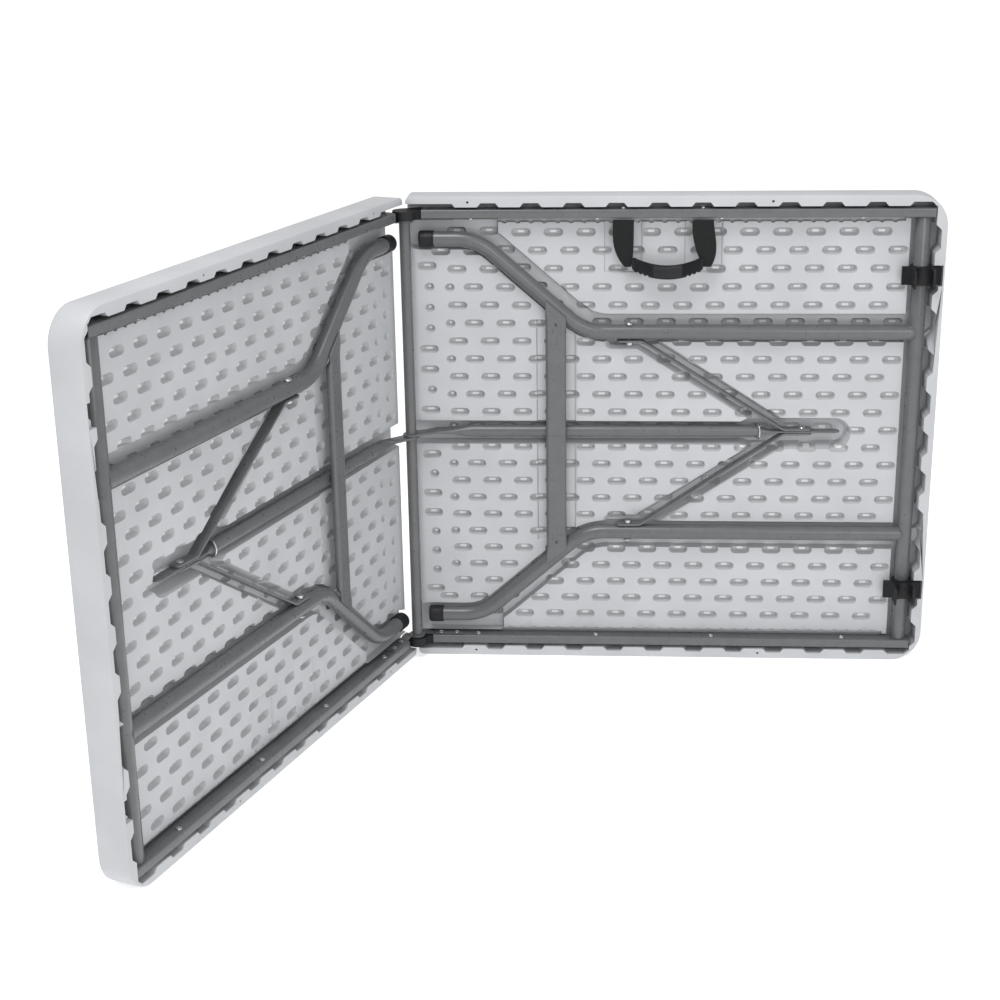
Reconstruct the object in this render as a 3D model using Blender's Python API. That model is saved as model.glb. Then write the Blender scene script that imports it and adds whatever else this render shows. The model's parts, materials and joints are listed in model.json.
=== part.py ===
"""Fold-in-half table: two blow-moulded half tops on a steel frame, hinged on one cross tube.

Metres, +Z up. The table stands on one long edge, part open, with both leg frames folded away.
Each half is drawn in its own frame: u runs out from the hinge axis, v runs across the table and
w runs from the table top down to the underside. Both halves come from the same drawing: the left
one is turned over about the hinge axis, and then opened by FOLD_ANGLE.
"""

import math

import bmesh
import bpy
from mathutils import Matrix, Vector

# Driving dimensions
HALF_LENGTH = 0.762
TABLE_WIDTH = 0.705
RIM_DEPTH = 0.045
FOLD_ANGLE = math.radians(110.0)
LEG_REACH = 0.712

# Clearances
GAP = 0.0003
RUNNING_GAP = 0.0004
FOLD_CLEARANCE = 0.001

# Moulded half top
LIP_WIDTH = 0.0155
PLATE_DEPTH = 0.027
OUTER_CORNER = 0.045
HINGE_CORNER = 0.008
EDGE_ROUND = 0.005
LIP_ROUND = 0.0015
SKIN = 0.003
HINGE_EDGE = 0.0015
VENT_RADIUS = 0.0015

# Side rails
RAIL_WIDTH = 0.013
RAIL_HEIGHT = 0.025
RAIL_WALL = 0.0012
RAIL_TO_LIP = 0.0035
RAIL_BELOW_LIP = 0.0005
RAIL_START = 0.024
RAIL_END_GAP = 0.0015

# Leg frame
TUBE_RADIUS = 0.011
TUBE_WALL = 0.0012
LEG_DEPTH = 0.031
PIVOT_TO_TRAY_END = 0.0025
SPIGOT_RADIUS = 0.007
FOOT_TO_RAIL = 0.031
LEG_SPREAD_TOP = 0.1535
FOOT_RUN = 0.083
BEND_RUN = 0.155
BEND_RADIUS = 0.080
FOOT_CAP_WALL = 0.0015
FOOT_CAP_LENGTH = 0.022
FOOT_CAP_END = 0.0027
CROSSBAR_AT = 0.516
CROSSBAR_WIDTH = 0.030
CROSSBAR_THICKNESS = 0.010
CROSSBAR_FRONT = 0.014

# Centre link and brace
CROSS_TUBE_RADIUS = 0.008
BRACE_AT = 0.410
STRAP_WIDTH = 0.016
STRAP_THICKNESS = 0.003
STRAP_END = 0.018
STRAP_PARALLEL = 0.028
STRAP_TAIL = 0.014
LINK_RADIUS = 0.009
LINK_EYE_RADIUS = 0.012
LINK_START = 0.034
LINK_JOGGLE = 0.0184
LINK_TIP = 0.054
RIVET_RADIUS = 0.0025
BOLT_RADIUS = 0.003
COLLAR_WIDTH = 0.008
COLLAR_RADIUS = 0.0125
COLLAR_BORE = 0.010
COLLAR_BACK = 0.065

# Hinge ironwork
PLATE_THICKNESS = 0.0016
KNUCKLE_RADIUS = 0.017
PLUG_DEPTH = 0.013

# Closing clips
CLIP_TO_RAIL = 0.0825
CLIP_LENGTH = 0.026
CLIP_WALL = 0.003
CLIP_WING = 0.0275
CLIP_WING_DEPTH = 0.0383

# Carrying handle
HANDLE_AT = 0.366
HANDLE_SPAN = 0.112
WEBBING_WIDTH = 0.030
WEBBING_THICKNESS = 0.0016
WEBBING_DROP = 0.067
HANDLE_LEAN = 0.0042
GRIP_AT = 0.373
GRIP_LENGTH = 0.101
GRIP_HEIGHT = 0.021
GRIP_THICKNESS = 0.014
GRIP_SAG = 0.013
SCREW_HEAD_RADIUS = 0.004

# Derived places, in a half's own frame
HALF_WIDTH = TABLE_WIDTH / 2
AXIS_DEPTH = RIM_DEPTH + FOLD_CLEARANCE
LIP_INNER = HALF_WIDTH - LIP_WIDTH
RAIL_OUTER = LIP_INNER - RAIL_TO_LIP
RAIL_INNER = RAIL_OUTER - RAIL_WIDTH
RAIL_FRONT = RIM_DEPTH - RAIL_BELOW_LIP
LEG_SPREAD_FOOT = RAIL_INNER - FOOT_TO_RAIL
CLIP_SPREAD = RAIL_INNER - CLIP_TO_RAIL
FOOT_CAP_RADIUS = TUBE_RADIUS + FOOT_CAP_WALL
RAIL_BACK = RAIL_FRONT - RAIL_HEIGHT
TRAY_END = HALF_LENGTH - LIP_WIDTH
RAIL_END = TRAY_END - RAIL_END_GAP
PIVOT_AT = TRAY_END - TUBE_RADIUS - CLIP_WALL - PIVOT_TO_TRAY_END
FOOT_AT = PIVOT_AT - LEG_REACH
BRACE_BOLT_AT = PIVOT_AT - BRACE_AT
STRAP_SPREAD = LEG_SPREAD_TOP - TUBE_RADIUS - GAP - STRAP_THICKNESS / 2
LINK_SIDE = GAP + STRAP_THICKNESS / 2
STACK = STRAP_THICKNESS + GAP

# The folded linkage lies along one line from the hinge axis to the brace bolts, and the deployed
# one along another: those two lengths give the link and the brace.
FOLDED_LENGTH = math.hypot(BRACE_BOLT_AT, AXIS_DEPTH - LEG_DEPTH)
DEPLOYED_LENGTH = math.hypot(PIVOT_AT, LEG_DEPTH + BRACE_AT - AXIS_DEPTH)
LINK_LENGTH = (DEPLOYED_LENGTH + FOLDED_LENGTH) / 2
BRACE_LENGTH = (DEPLOYED_LENGTH - FOLDED_LENGTH) / 2
LINK_TILT = math.atan2(AXIS_DEPTH - LEG_DEPTH, BRACE_BOLT_AT)
LINK_SLOPE = LINK_JOGGLE / (LINK_LENGTH - LINK_START)
COLLAR_AT = LINK_LENGTH - COLLAR_BACK

SIDES = 16


def material(name, colour, roughness, metallic=0.0):
    made = bpy.data.materials.new(name)
    made.use_nodes = True
    shader = made.node_tree.nodes["Principled BSDF"]
    shader.inputs["Base Color"].default_value = (*colour, 1.0)
    shader.inputs["Roughness"].default_value = roughness
    shader.inputs["Metallic"].default_value = metallic
    return made


def clear_scene():
    for thing in list(bpy.data.objects):
        bpy.data.objects.remove(thing, do_unlink=True)


# Shapes, each returned as a bmesh in the frame it is drawn in


def skin(rings, looped=False):
    """Joins rings of points into one closed surface: capped at both ends, or looped back round."""
    bm = bmesh.new()
    loops = [[bm.verts.new(point) for point in ring] for ring in rings]
    pairs = list(zip(loops, loops[1:]))
    if looped:
        pairs.append((loops[-1], loops[0]))
    else:
        bm.faces.new(loops[0])
        bm.faces.new(loops[-1])
    for first, second in pairs:
        for i in range(len(first)):
            j = (i + 1) % len(first)
            bm.faces.new((first[i], first[j], second[j], second[i]))
    bmesh.ops.recalc_face_normals(bm, faces=bm.faces)
    return bm


def prism(outline, low, high, axis="w"):
    """Extrudes an outline along w, where it is (u, v) points, or along v, where it is (u, w)."""
    if axis == "w":
        return skin([[(a, b, level) for a, b in outline] for level in (low, high)])
    return skin([[(a, level, b) for a, b in outline] for level in (low, high)])


def box(low, high):
    (u0, v0, w0), (u1, v1, w1) = low, high
    return prism([(u0, v0), (u1, v0), (u1, v1), (u0, v1)], w0, w1)


def arc(centre, radius, start, end, steps):
    """Points on an arc, angles in degrees."""
    angles = [math.radians(start + (end - start) * i / steps) for i in range(steps + 1)]
    return [(centre[0] + radius * math.cos(a), centre[1] + radius * math.sin(a)) for a in angles]


def turned(profile, axis, centre, looped=False, sides=SIDES):
    """Turns (radius, place along the axis) points about an axis through centre."""
    rings = []
    for radius, along in profile:
        circle = arc(centre, radius, 0, 360 - 360 / sides, sides - 1)
        if axis == "u":
            rings.append([(along, a, b) for a, b in circle])
        elif axis == "v":
            rings.append([(a, along, b) for a, b in circle])
        else:
            rings.append([(a, b, along) for a, b in circle])
    return skin(rings, looped)


def ring_profile(bore, radius, low, high):
    return [(bore, low), (radius, low), (radius, high), (bore, high)]


def rounded_path(points, radius, steps=4):
    """A flat polyline with each inner corner replaced by an arc."""
    path = [Vector(points[0])]
    for before, corner, after in zip(points, points[1:], points[2:]):
        corner = Vector(corner)
        back = (Vector(before) - corner).normalized()
        ahead = (Vector(after) - corner).normalized()
        half_turn = back.angle(ahead) / 2
        reach = radius / math.tan(half_turn)
        centre = corner + (back + ahead).normalized() * radius / math.sin(half_turn)
        start = corner + back * reach - centre
        end = corner + ahead * reach - centre
        begin = math.atan2(start.y, start.x)
        sweep = math.remainder(math.atan2(end.y, end.x) - begin, math.tau)
        bend = arc(centre, radius, math.degrees(begin), math.degrees(begin + sweep), steps)
        path += [Vector(point) for point in bend]
    path.append(Vector(points[-1]))
    return path


def path_normals(path):
    normals = []
    for i in range(len(path)):
        ahead = path[min(i + 1, len(path) - 1)]
        behind = path[max(i - 1, 0)]
        along = (ahead - behind).normalized()
        normals.append(Vector((-along.y, along.x)))
    return normals


def strip(path, half_width):
    """The outline of a band that follows a flat path."""
    normals = path_normals(path)
    left = [tuple(p + n * half_width) for p, n in zip(path, normals)]
    right = [tuple(p - n * half_width) for p, n in zip(path, normals)]
    return left + right[::-1]


def bent_tube(path, depth, radius, bore, sides=SIDES):
    """A hollow round tube along a flat path at one depth."""

    def rings(r):
        found = []
        for point, normal in zip(path, path_normals(path)):
            found.append([
                (point.x + normal.x * a, point.y + normal.y * a, depth + b)
                for a, b in arc((0, 0), r, 0, 360 - 360 / sides, sides - 1)
            ])
        return found

    return skin(rings(radius) + rings(bore)[::-1], looped=True)


def rounded_rectangle(u0, u1, half_v, inset):
    """The plan of a half top: large corners at the outer end, small ones at the hinge."""
    a, b, v = u0 + inset, u1 - inset, half_v - inset
    small, large = HINGE_CORNER - inset, OUTER_CORNER - inset
    points = arc((b - large, v - large), large, 0, 90, 6)
    points += arc((a + small, v - small), small, 90, 180, 2)
    points += arc((a + small, small - v), small, 180, 270, 2)
    points += arc((b - large, large - v), large, 270, 360, 6)
    return points


# Objects


def empty(name, parent, matrix):
    holder = bpy.data.objects.new(name, None)
    bpy.context.scene.collection.objects.link(holder)
    holder.parent = parent
    holder.matrix_local = matrix
    return holder


def add(name, bm, finish, parent, origin=(0, 0, 0)):
    """Makes an object from a bmesh drawn in its parent's frame plus origin."""
    bmesh.ops.translate(bm, vec=-Vector(origin), verts=bm.verts)
    mesh = bpy.data.meshes.new(name)
    bm.to_mesh(mesh)
    bm.free()
    mesh.materials.append(finish)
    mesh.shade_smooth()
    mesh.set_sharp_from_angle(angle=math.radians(35))
    made = bpy.data.objects.new(name, mesh)
    bpy.context.scene.collection.objects.link(made)
    made.parent = parent
    return made


def combine(target, bm, operation, origin=(0, 0, 0)):
    """Adds a live Boolean to target, with a hidden helper made from bm."""
    name = f"{target.name}_{operation.lower()}_{len(target.modifiers)}"
    helper = add(name, bm, target.data.materials[0], target.parent, origin)
    helper.hide_render = True
    helper.display_type = "WIRE"
    modifier = target.modifiers.new(name, "BOOLEAN")
    modifier.operation = operation
    modifier.object = helper
    return helper


# The half top


def leg_path(side):
    """The centre line of one folded leg tube, from its foot to the pivot tube."""
    foot = FOOT_AT + FOOT_CAP_END + GAP
    bend = FOOT_AT + FOOT_RUN
    corners = [
        (foot, side * LEG_SPREAD_FOOT),
        (bend, side * LEG_SPREAD_FOOT),
        (bend + BEND_RUN, side * LEG_SPREAD_TOP),
        (PIVOT_AT, side * LEG_SPREAD_TOP),
    ]
    return rounded_path(corners, BEND_RADIUS)


def rectangle(low, high, grow=0):
    (u0, v0), (u1, v1) = low, high
    u0, v0, u1, v1 = u0 - grow, v0 - grow, u1 + grow, v1 + grow
    return [(u0, v0), (u1, v0), (u1, v1), (u0, v1)]


def recesses(grow):
    """The underside's hollows as (outline, floor), each grown outwards by grow.

    They are the tray inside the rim, the rail grooves, and room for the folded legs, brace, link,
    collar and closing clips."""
    side_room = 0.004 + grow
    open_end = HINGE_EDGE - 0.003
    tray_edge = LIP_INNER - 0.0005
    leg_floor = LEG_DEPTH - TUBE_RADIUS - 0.004
    link_floor = 2 * SKIN
    collar_start = COLLAR_AT - 0.030
    link_end = LINK_LENGTH + LINK_TIP + 0.012
    pivot_side = PIVOT_AT - TUBE_RADIUS - CLIP_WALL - 0.002
    pivot_room = rectangle((pivot_side, -tray_edge), (TRAY_END - 0.0005, tray_edge), grow)
    found = [
        (rectangle((open_end, -LIP_INNER), (TRAY_END, LIP_INNER), grow), PLATE_DEPTH - grow),
        (pivot_room, leg_floor - grow),
        (rectangle((open_end, -0.0145), (collar_start + 0.002, 0.0145), grow), link_floor - grow),
        (rectangle((collar_start, -0.022), (link_end, 0.022), grow), link_floor - grow),
    ]
    notch = CLIP_LENGTH / 2 + 0.002
    for side in (-1, 1):
        inner, outer = sorted((side * (RAIL_INNER - 0.0025), side * (LIP_INNER - 0.0002)))
        groove = rectangle((open_end - 0.001, inner), (RAIL_END + 0.001, outer), grow)
        found.append((groove, RAIL_BACK - 0.0015 - grow))
        foot_room = Vector((FOOT_AT - 0.006, side * LEG_SPREAD_FOOT))
        band = strip([foot_room] + leg_path(side)[1:], TUBE_RADIUS + side_room)
        found.append((band, leg_floor - grow))
        arm = [
            Vector((BRACE_BOLT_AT - STRAP_END - 0.006, side * STRAP_SPREAD)),
            Vector((BRACE_BOLT_AT + STRAP_END, side * STRAP_SPREAD)),
            Vector((LINK_LENGTH - STRAP_PARALLEL, side * 0.006)),
            Vector((LINK_LENGTH, side * 0.006)),
        ]
        found.append((strip(arm, 0.0045 + side_room), 0.008 - grow))
        low = (TRAY_END - 0.002, side * CLIP_SPREAD - notch)
        high = (HALF_LENGTH - 0.0025, side * CLIP_SPREAD + notch)
        found.append((rectangle(low, high, grow), CLIP_WING_DEPTH - GAP - grow))
    return found


def half_top(side_name, half, plastic):
    """One blow-moulded half: a single hollow shell with a rim, recessed for the folded frame."""
    levels = (
        (0, EDGE_ROUND),
        (0.3 * EDGE_ROUND, 0.3 * EDGE_ROUND),
        (EDGE_ROUND, 0),
        (RIM_DEPTH - LIP_ROUND, 0),
        (RIM_DEPTH, LIP_ROUND),
    )
    rings = []
    for depth, inset in levels:
        plan = rounded_rectangle(HINGE_EDGE, HALF_LENGTH, HALF_WIDTH, inset)
        rings.append([(a, b, depth) for a, b in plan])
    panel = add(f"{side_name}_half_top", skin(rings), plastic, half)
    above = RIM_DEPTH + 0.01
    for outline, floor in recesses(0):
        combine(panel, prism(outline, floor, above), "DIFFERENCE")
    inner_plan = rounded_rectangle(HINGE_EDGE, HALF_LENGTH, HALF_WIDTH, SKIN + LIP_ROUND)
    hollow = combine(panel, prism(inner_plan, SKIN, RIM_DEPTH - SKIN), "DIFFERENCE")
    for outline, floor in recesses(SKIN):
        combine(hollow, prism(outline, floor, above), "DIFFERENCE")
    vent_at = (PIVOT_AT - 0.07, 0.06)
    vent = turned([(VENT_RADIUS, PLATE_DEPTH - 2 * SKIN), (VENT_RADIUS, above)], "w", vent_at, sides=8)
    combine(panel, vent, "DIFFERENCE")


# Side rails and hinges


def side_rails(side_name, half, steel, tags):
    """Two rectangular steel tubes, pierced for the pivot tube's ends."""
    for tag, side in tags:
        rings = []
        for inset, ends in ((0, (RAIL_START, RAIL_END)), (RAIL_WALL, (RAIL_END, RAIL_START))):
            low, high = sorted((side * (RAIL_INNER + inset), side * (RAIL_OUTER - inset)))
            for u in ends:
                back, front = RAIL_BACK + inset, RAIL_FRONT - inset
                rings.append([(u, low, back), (u, high, back), (u, high, front), (u, low, front)])
        rail = add(f"{side_name}_{tag}_rail", skin(rings, looped=True), steel, half)
        low, high = sorted((side * (RAIL_INNER - 0.002), side * (RAIL_OUTER + 0.002)))
        profile = [(SPIGOT_RADIUS + RUNNING_GAP, low), (SPIGOT_RADIUS + RUNNING_GAP, high)]
        combine(rail, turned(profile, "v", (PIVOT_AT, LEG_DEPTH)), "DIFFERENCE")
        if side_name == "right" and tag == "upper":
            for at in handle_places():
                profile = [(BOLT_RADIUS - 0.0005, low), (BOLT_RADIUS - 0.0005, high)]
                combine(rail, turned(profile, "v", (at, RAIL_FRONT - 0.009), sides=8), "DIFFERENCE")


def hinge_plates(side_name, half, steel, tags):
    """Flat eyes on the rails' inner faces. The left pair is joggled to lie inside the right one."""
    thick = PLATE_THICKNESS / 2
    fixed = RAIL_INNER - GAP - thick
    eye = fixed - (PLATE_THICKNESS + GAP if side_name == "left" else 0)
    for tag, side in tags:
        line = [(0.004, eye), (0.015, eye), (0.021, fixed), (0.070, fixed)]
        path = [Vector((u, side * v)) for u, v in line]
        arm = prism(strip(path, thick - 0.0001), PLATE_DEPTH + 0.0015, RAIL_FRONT - 0.0025)
        plate = add(f"{side_name}_{tag}_hinge_plate", arm, steel, half)
        low, high = sorted((side * (eye - thick), side * (eye + thick)))
        disc = [(LINK_EYE_RADIUS, low), (LINK_EYE_RADIUS, high)]
        combine(plate, turned(disc, "v", (0, AXIS_DEPTH)), "UNION")
        bore = CROSS_TUBE_RADIUS + RUNNING_GAP
        drill = [(bore, low - 0.001), (bore, high + 0.001)]
        combine(plate, turned(drill, "v", (0, AXIS_DEPTH)), "DIFFERENCE")


def rail_plug(low_v, high_v):
    """The part of a plastic end piece that is pushed into an open rail."""
    inset = RAIL_WALL + GAP
    low = (RAIL_START - 0.001, low_v + inset, RAIL_BACK + inset)
    high = (RAIL_START + PLUG_DEPTH, high_v - inset, RAIL_FRONT - inset)
    return box(low, high)


def hinge_knuckles(half, plastic, tags):
    """Black end pieces in the right rails, round knuckles that carry the cross tube's ends."""
    for tag, side in tags:
        low, high = sorted((side * RAIL_INNER, side * RAIL_OUTER))
        outline = arc((0, AXIS_DEPTH), KNUCKLE_RADIUS, 5, 262, 14)
        outline += [(RAIL_START - GAP, RAIL_BACK), (RAIL_START - GAP, RAIL_FRONT)]
        knuckle = add(f"{tag}_hinge_knuckle", prism(outline, low, high, "v"), plastic, half)
        combine(knuckle, rail_plug(low, high), "UNION")
        bore = CROSS_TUBE_RADIUS + RUNNING_GAP
        ends = sorted((side * (RAIL_INNER - 0.001), side * (RAIL_OUTER - 0.002)))
        cutter = turned([(bore, ends[0]), (bore, ends[1])], "v", (0, AXIS_DEPTH))
        combine(knuckle, cutter, "DIFFERENCE")


def rail_end_plugs(half, plastic, tags):
    for tag, side in tags:
        low, high = sorted((side * RAIL_INNER, side * RAIL_OUTER))
        flange = box((RAIL_START - 0.0023, low, RAIL_BACK), (RAIL_START - GAP, high, RAIL_FRONT))
        plug = add(f"left_{tag}_rail_plug", flange, plastic, half)
        combine(plug, rail_plug(low, high), "UNION")


def cross_tube(half, steel):
    end = RAIL_OUTER - 0.0025
    profile = ring_profile(CROSS_TUBE_RADIUS - TUBE_WALL, CROSS_TUBE_RADIUS, -end, end)
    add("hinge_cross_tube", turned(profile, "v", (0, AXIS_DEPTH), looped=True), steel, half)


# Leg frames


def leg_frame(side_name, half, steel, black, zinc, tags):
    """Pivot tube, two bent legs, crossbar and feet, all turning about the pivot tube."""
    origin = (PIVOT_AT, 0, LEG_DEPTH)
    pivot = empty(f"{side_name}_leg_pivot", half, Matrix.Translation(origin))
    centre = (PIVOT_AT, LEG_DEPTH)
    shoulder, end = RAIL_INNER - GAP, RAIL_OUTER - 0.0007
    bore, throat = TUBE_RADIUS - TUBE_WALL, SPIGOT_RADIUS - TUBE_WALL
    outside = [(SPIGOT_RADIUS, end), (SPIGOT_RADIUS, shoulder), (TUBE_RADIUS, shoulder - GAP)]
    inside = [(bore, shoulder - 0.003), (throat, shoulder - 0.0015), (throat, end)]
    profile = [(r, -v) for r, v in outside] + [(r, v) for r, v in outside[::-1]]
    profile += [(r, v) for r, v in inside[::-1]] + [(r, -v) for r, v in inside]
    tube = turned(profile, "v", centre, looped=True)
    add(f"{side_name}_leg_pivot_tube", tube, steel, pivot, origin)

    saddle = TUBE_RADIUS + GAP
    for tag, side in tags:
        bolt_at = side * LEG_SPREAD_TOP
        leg = bent_tube(leg_path(side), LEG_DEPTH, TUBE_RADIUS, TUBE_RADIUS - TUBE_WALL)
        leg = add(f"{side_name}_{tag}_leg", leg, steel, pivot, origin)
        low, high = sorted((bolt_at - side * 0.03, bolt_at + side * 0.03))
        combine(leg, turned([(saddle, low), (saddle, high)], "v", centre, sides=32), "DIFFERENCE", origin)
        hole = [(BOLT_RADIUS + GAP, low), (BOLT_RADIUS + GAP, high)]
        drill = turned(hole, "v", (BRACE_BOLT_AT, LEG_DEPTH))
        combine(leg, drill, "DIFFERENCE", origin)

        cap_end = FOOT_AT + FOOT_CAP_LENGTH
        wall = TUBE_RADIUS + GAP
        profile = [
            (FOOT_CAP_RADIUS - 0.002, FOOT_AT),
            (FOOT_CAP_RADIUS, FOOT_AT + 0.002),
            (FOOT_CAP_RADIUS, cap_end),
            (wall, cap_end),
            (wall, FOOT_AT + FOOT_CAP_END),
        ]
        cap = turned(profile, "u", (side * LEG_SPREAD_FOOT, LEG_DEPTH))
        add(f"{side_name}_{tag}_foot_cap", cap, black, pivot, origin)

        inner = side * (LEG_SPREAD_TOP - TUBE_RADIUS - 0.0001)
        outer = side * (LEG_SPREAD_TOP + TUBE_RADIUS + GAP)
        profile = [
            (BOLT_RADIUS, inner),
            (BOLT_RADIUS, outer),
            (2 * BOLT_RADIUS, outer),
            (1.8 * BOLT_RADIUS, outer + side * 0.002),
            (0.8 * BOLT_RADIUS, outer + side * 0.0035),
        ]
        bolt = turned(profile, "v", (BRACE_BOLT_AT, LEG_DEPTH), sides=12)
        add(f"{side_name}_{tag}_brace_bolt", bolt, zinc, pivot, origin)
    crossbar(side_name, pivot, steel, origin)
    return pivot


def crossbar(side_name, pivot, steel, origin):
    """A flat-oval tube welded between the legs' sloping runs, set forward of the centre link."""
    middle = PIVOT_AT - CROSSBAR_AT
    front = LEG_DEPTH + CROSSBAR_FRONT
    round_off = CROSSBAR_THICKNESS / 2
    depth = front - round_off
    reach = CROSSBAR_WIDTH / 2 - round_off
    section = arc((middle + reach, depth), round_off, -90, 90, 4)
    section += arc((middle - reach, depth), round_off, 90, 270, 4)
    slope = (LEG_SPREAD_FOOT - LEG_SPREAD_TOP) / BEND_RUN
    weld = LEG_SPREAD_FOOT - slope * (middle - FOOT_AT - FOOT_RUN)
    bar = add(f"{side_name}_leg_crossbar", prism(section, -weld, weld, "v"), steel, pivot, origin)
    for side in (-1, 1):
        along = Vector((1, -side * slope)).normalized() * 0.08
        centre = Vector((middle, side * weld))
        cutter = bent_tube([centre - along, centre + along], LEG_DEPTH, TUBE_RADIUS + GAP, 0.001)
        combine(bar, cutter, "DIFFERENCE", origin)


# Centre link, brace and lock collar, each drawn in the link's frame: x towards the brace rivet,
# y across the table and z towards the underside


def link_sections():
    """The link as (x, depth offset, half height, half width, squareness), eye end to tip."""

    def line(x):
        return LINK_SLOPE * (x - LINK_LENGTH)

    blade = STRAP_THICKNESS / 2
    round_end = COLLAR_AT - COLLAR_WIDTH / 2
    tip = LINK_LENGTH + LINK_TIP
    return [
        (LINK_START, line(LINK_START), 0.013, blade - 0.0001, 6),
        (0.060, line(0.060), 0.0115, 0.0045, 3),
        (0.085, line(0.085), LINK_RADIUS, LINK_RADIUS, 2),
        (round_end, line(round_end), LINK_RADIUS, LINK_RADIUS, 2),
        (round_end + 0.010, line(round_end + 0.010), STRAP_WIDTH / 2, 0.005, 3),
        (round_end + 0.020, line(round_end + 0.020), STRAP_WIDTH / 2, blade, 6),
        (tip - 0.006, line(tip - 0.006), STRAP_WIDTH / 2, blade, 6),
        (tip, line(tip), 0.0035, blade, 6),
    ]


def oval(half_width, half_height, squareness, sides=SIDES):
    """Points of a superellipse, round at squareness 2 and nearly square at 6."""
    points = []
    for i in range(sides):
        angle = math.tau * (i + 0.5) / sides
        c, s = math.cos(angle), math.sin(angle)
        a = math.copysign(abs(c) ** (2 / squareness), c) * half_width
        b = math.copysign(abs(s) ** (2 / squareness), s) * half_height
        points.append((a, b))
    return points


def centre_link(side_name, half, steel):
    tilt = Matrix.Translation((0, 0, AXIS_DEPTH)) @ Matrix.Rotation(LINK_TILT, 4, "Y")
    pivot = empty(f"{side_name}_link_pivot", half, tilt)
    rings = []
    for x, z, half_height, half_width, squareness in link_sections():
        ring = [(x, LINK_SIDE + a, z + b) for a, b in oval(half_width, half_height, squareness)]
        rings.append(ring)
    link = add(f"{side_name}_centre_link", skin(rings), steel, pivot)
    _, level, half_height, *_ = link_sections()[0]
    neck, reach = LINK_START + 0.004, half_height - 0.0006
    outline = arc((0, 0), LINK_EYE_RADIUS, 40, 220, 12)
    outline += [(neck, level - reach), (neck, level + reach)]
    thick = STRAP_THICKNESS / 2
    combine(link, prism(outline, LINK_SIDE - thick, LINK_SIDE + thick, "v"), "UNION")
    for at, bore, sides in (
        ((0, 0), CROSS_TUBE_RADIUS + RUNNING_GAP, SIDES),
        ((LINK_LENGTH, 0), RIVET_RADIUS + GAP, 12),
    ):
        profile = [(bore, LINK_SIDE - 0.012), (bore, LINK_SIDE + 0.012)]
        combine(link, turned(profile, "v", at, sides=sides), "DIFFERENCE")
    return pivot


def brace(side_name, link_pivot, steel, zinc, tags):
    """A Y of two flat straps on one rivet, and the nuts that clamp their far ends to the legs."""
    origin = (LINK_LENGTH, 0, 0)
    pivot = empty(f"{side_name}_brace_pivot", link_pivot, Matrix.Translation(origin))
    bolt_at = LINK_LENGTH - BRACE_LENGTH
    half_width = STRAP_WIDTH / 2
    for tag, side in tags:
        near = LINK_SIDE + side * STACK
        far = side * STRAP_SPREAD
        line = [
            Vector((LINK_LENGTH + STRAP_TAIL, near)),
            Vector((LINK_LENGTH - STRAP_PARALLEL, near)),
            Vector((bolt_at + STRAP_END, far)),
            Vector((bolt_at - STRAP_END, far)),
        ]
        bm = prism(strip(line, STRAP_THICKNESS / 2), -half_width, half_width)
        ends = (LINK_LENGTH + STRAP_TAIL, bolt_at - STRAP_END)
        corners = [
            e for e in bm.edges
            if abs(e.verts[0].co.z - e.verts[1].co.z) < 1e-6
            and any(all(abs(v.co.x - end) < 1e-6 for v in e.verts) for end in ends)
        ]
        bmesh.ops.bevel(bm, geom=corners, offset=0.0065, segments=3, affect="EDGES", profile=0.5)
        strap = add(f"{side_name}_{tag}_brace_strap", bm, steel, pivot, origin)
        profile = [(RIVET_RADIUS + GAP, near - 0.005), (RIVET_RADIUS + GAP, near + 0.005)]
        combine(strap, turned(profile, "v", (LINK_LENGTH, 0), sides=12), "DIFFERENCE", origin)
        face = far - side * (STRAP_THICKNESS / 2 + GAP)
        profile = [(2 * BOLT_RADIUS, face), (2 * BOLT_RADIUS, face - side * 0.004)]
        nut = turned(profile, "v", (bolt_at, 0), sides=6)
        add(f"{side_name}_{tag}_brace_nut", nut, zinc, pivot, origin)

    reach = STACK + STRAP_THICKNESS / 2 + GAP
    head, crown = 2 * RIVET_RADIUS, 1.2 * RIVET_RADIUS
    half = [(crown, reach + 0.002), (head, reach + 0.0008), (head, reach), (RIVET_RADIUS, reach)]
    profile = [(r, LINK_SIDE - y) for r, y in half] + [(r, LINK_SIDE + y) for r, y in half[::-1]]
    rivet = turned(profile, "v", (LINK_LENGTH, 0), sides=12)
    add(f"{side_name}_brace_rivet", rivet, zinc, pivot, origin)


def lock_collar(side_name, link_pivot, zinc):
    """The short sleeve that slides along the link, over the rivet, to keep a deployed brace straight."""
    at = Vector((COLLAR_AT, LINK_SIDE, LINK_SLOPE * (COLLAR_AT - LINK_LENGTH)))
    turn = Matrix.Rotation(-math.atan(LINK_SLOPE), 4, "Y")
    slide = empty(f"{side_name}_collar_slide", link_pivot, Matrix.Translation(at) @ turn)
    profile = ring_profile(COLLAR_BORE, COLLAR_RADIUS, -COLLAR_WIDTH / 2, COLLAR_WIDTH / 2)
    add(f"{side_name}_lock_collar", turned(profile, "u", (0, 0), looped=True, sides=20), zinc, slide)


# Clips and handle


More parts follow.
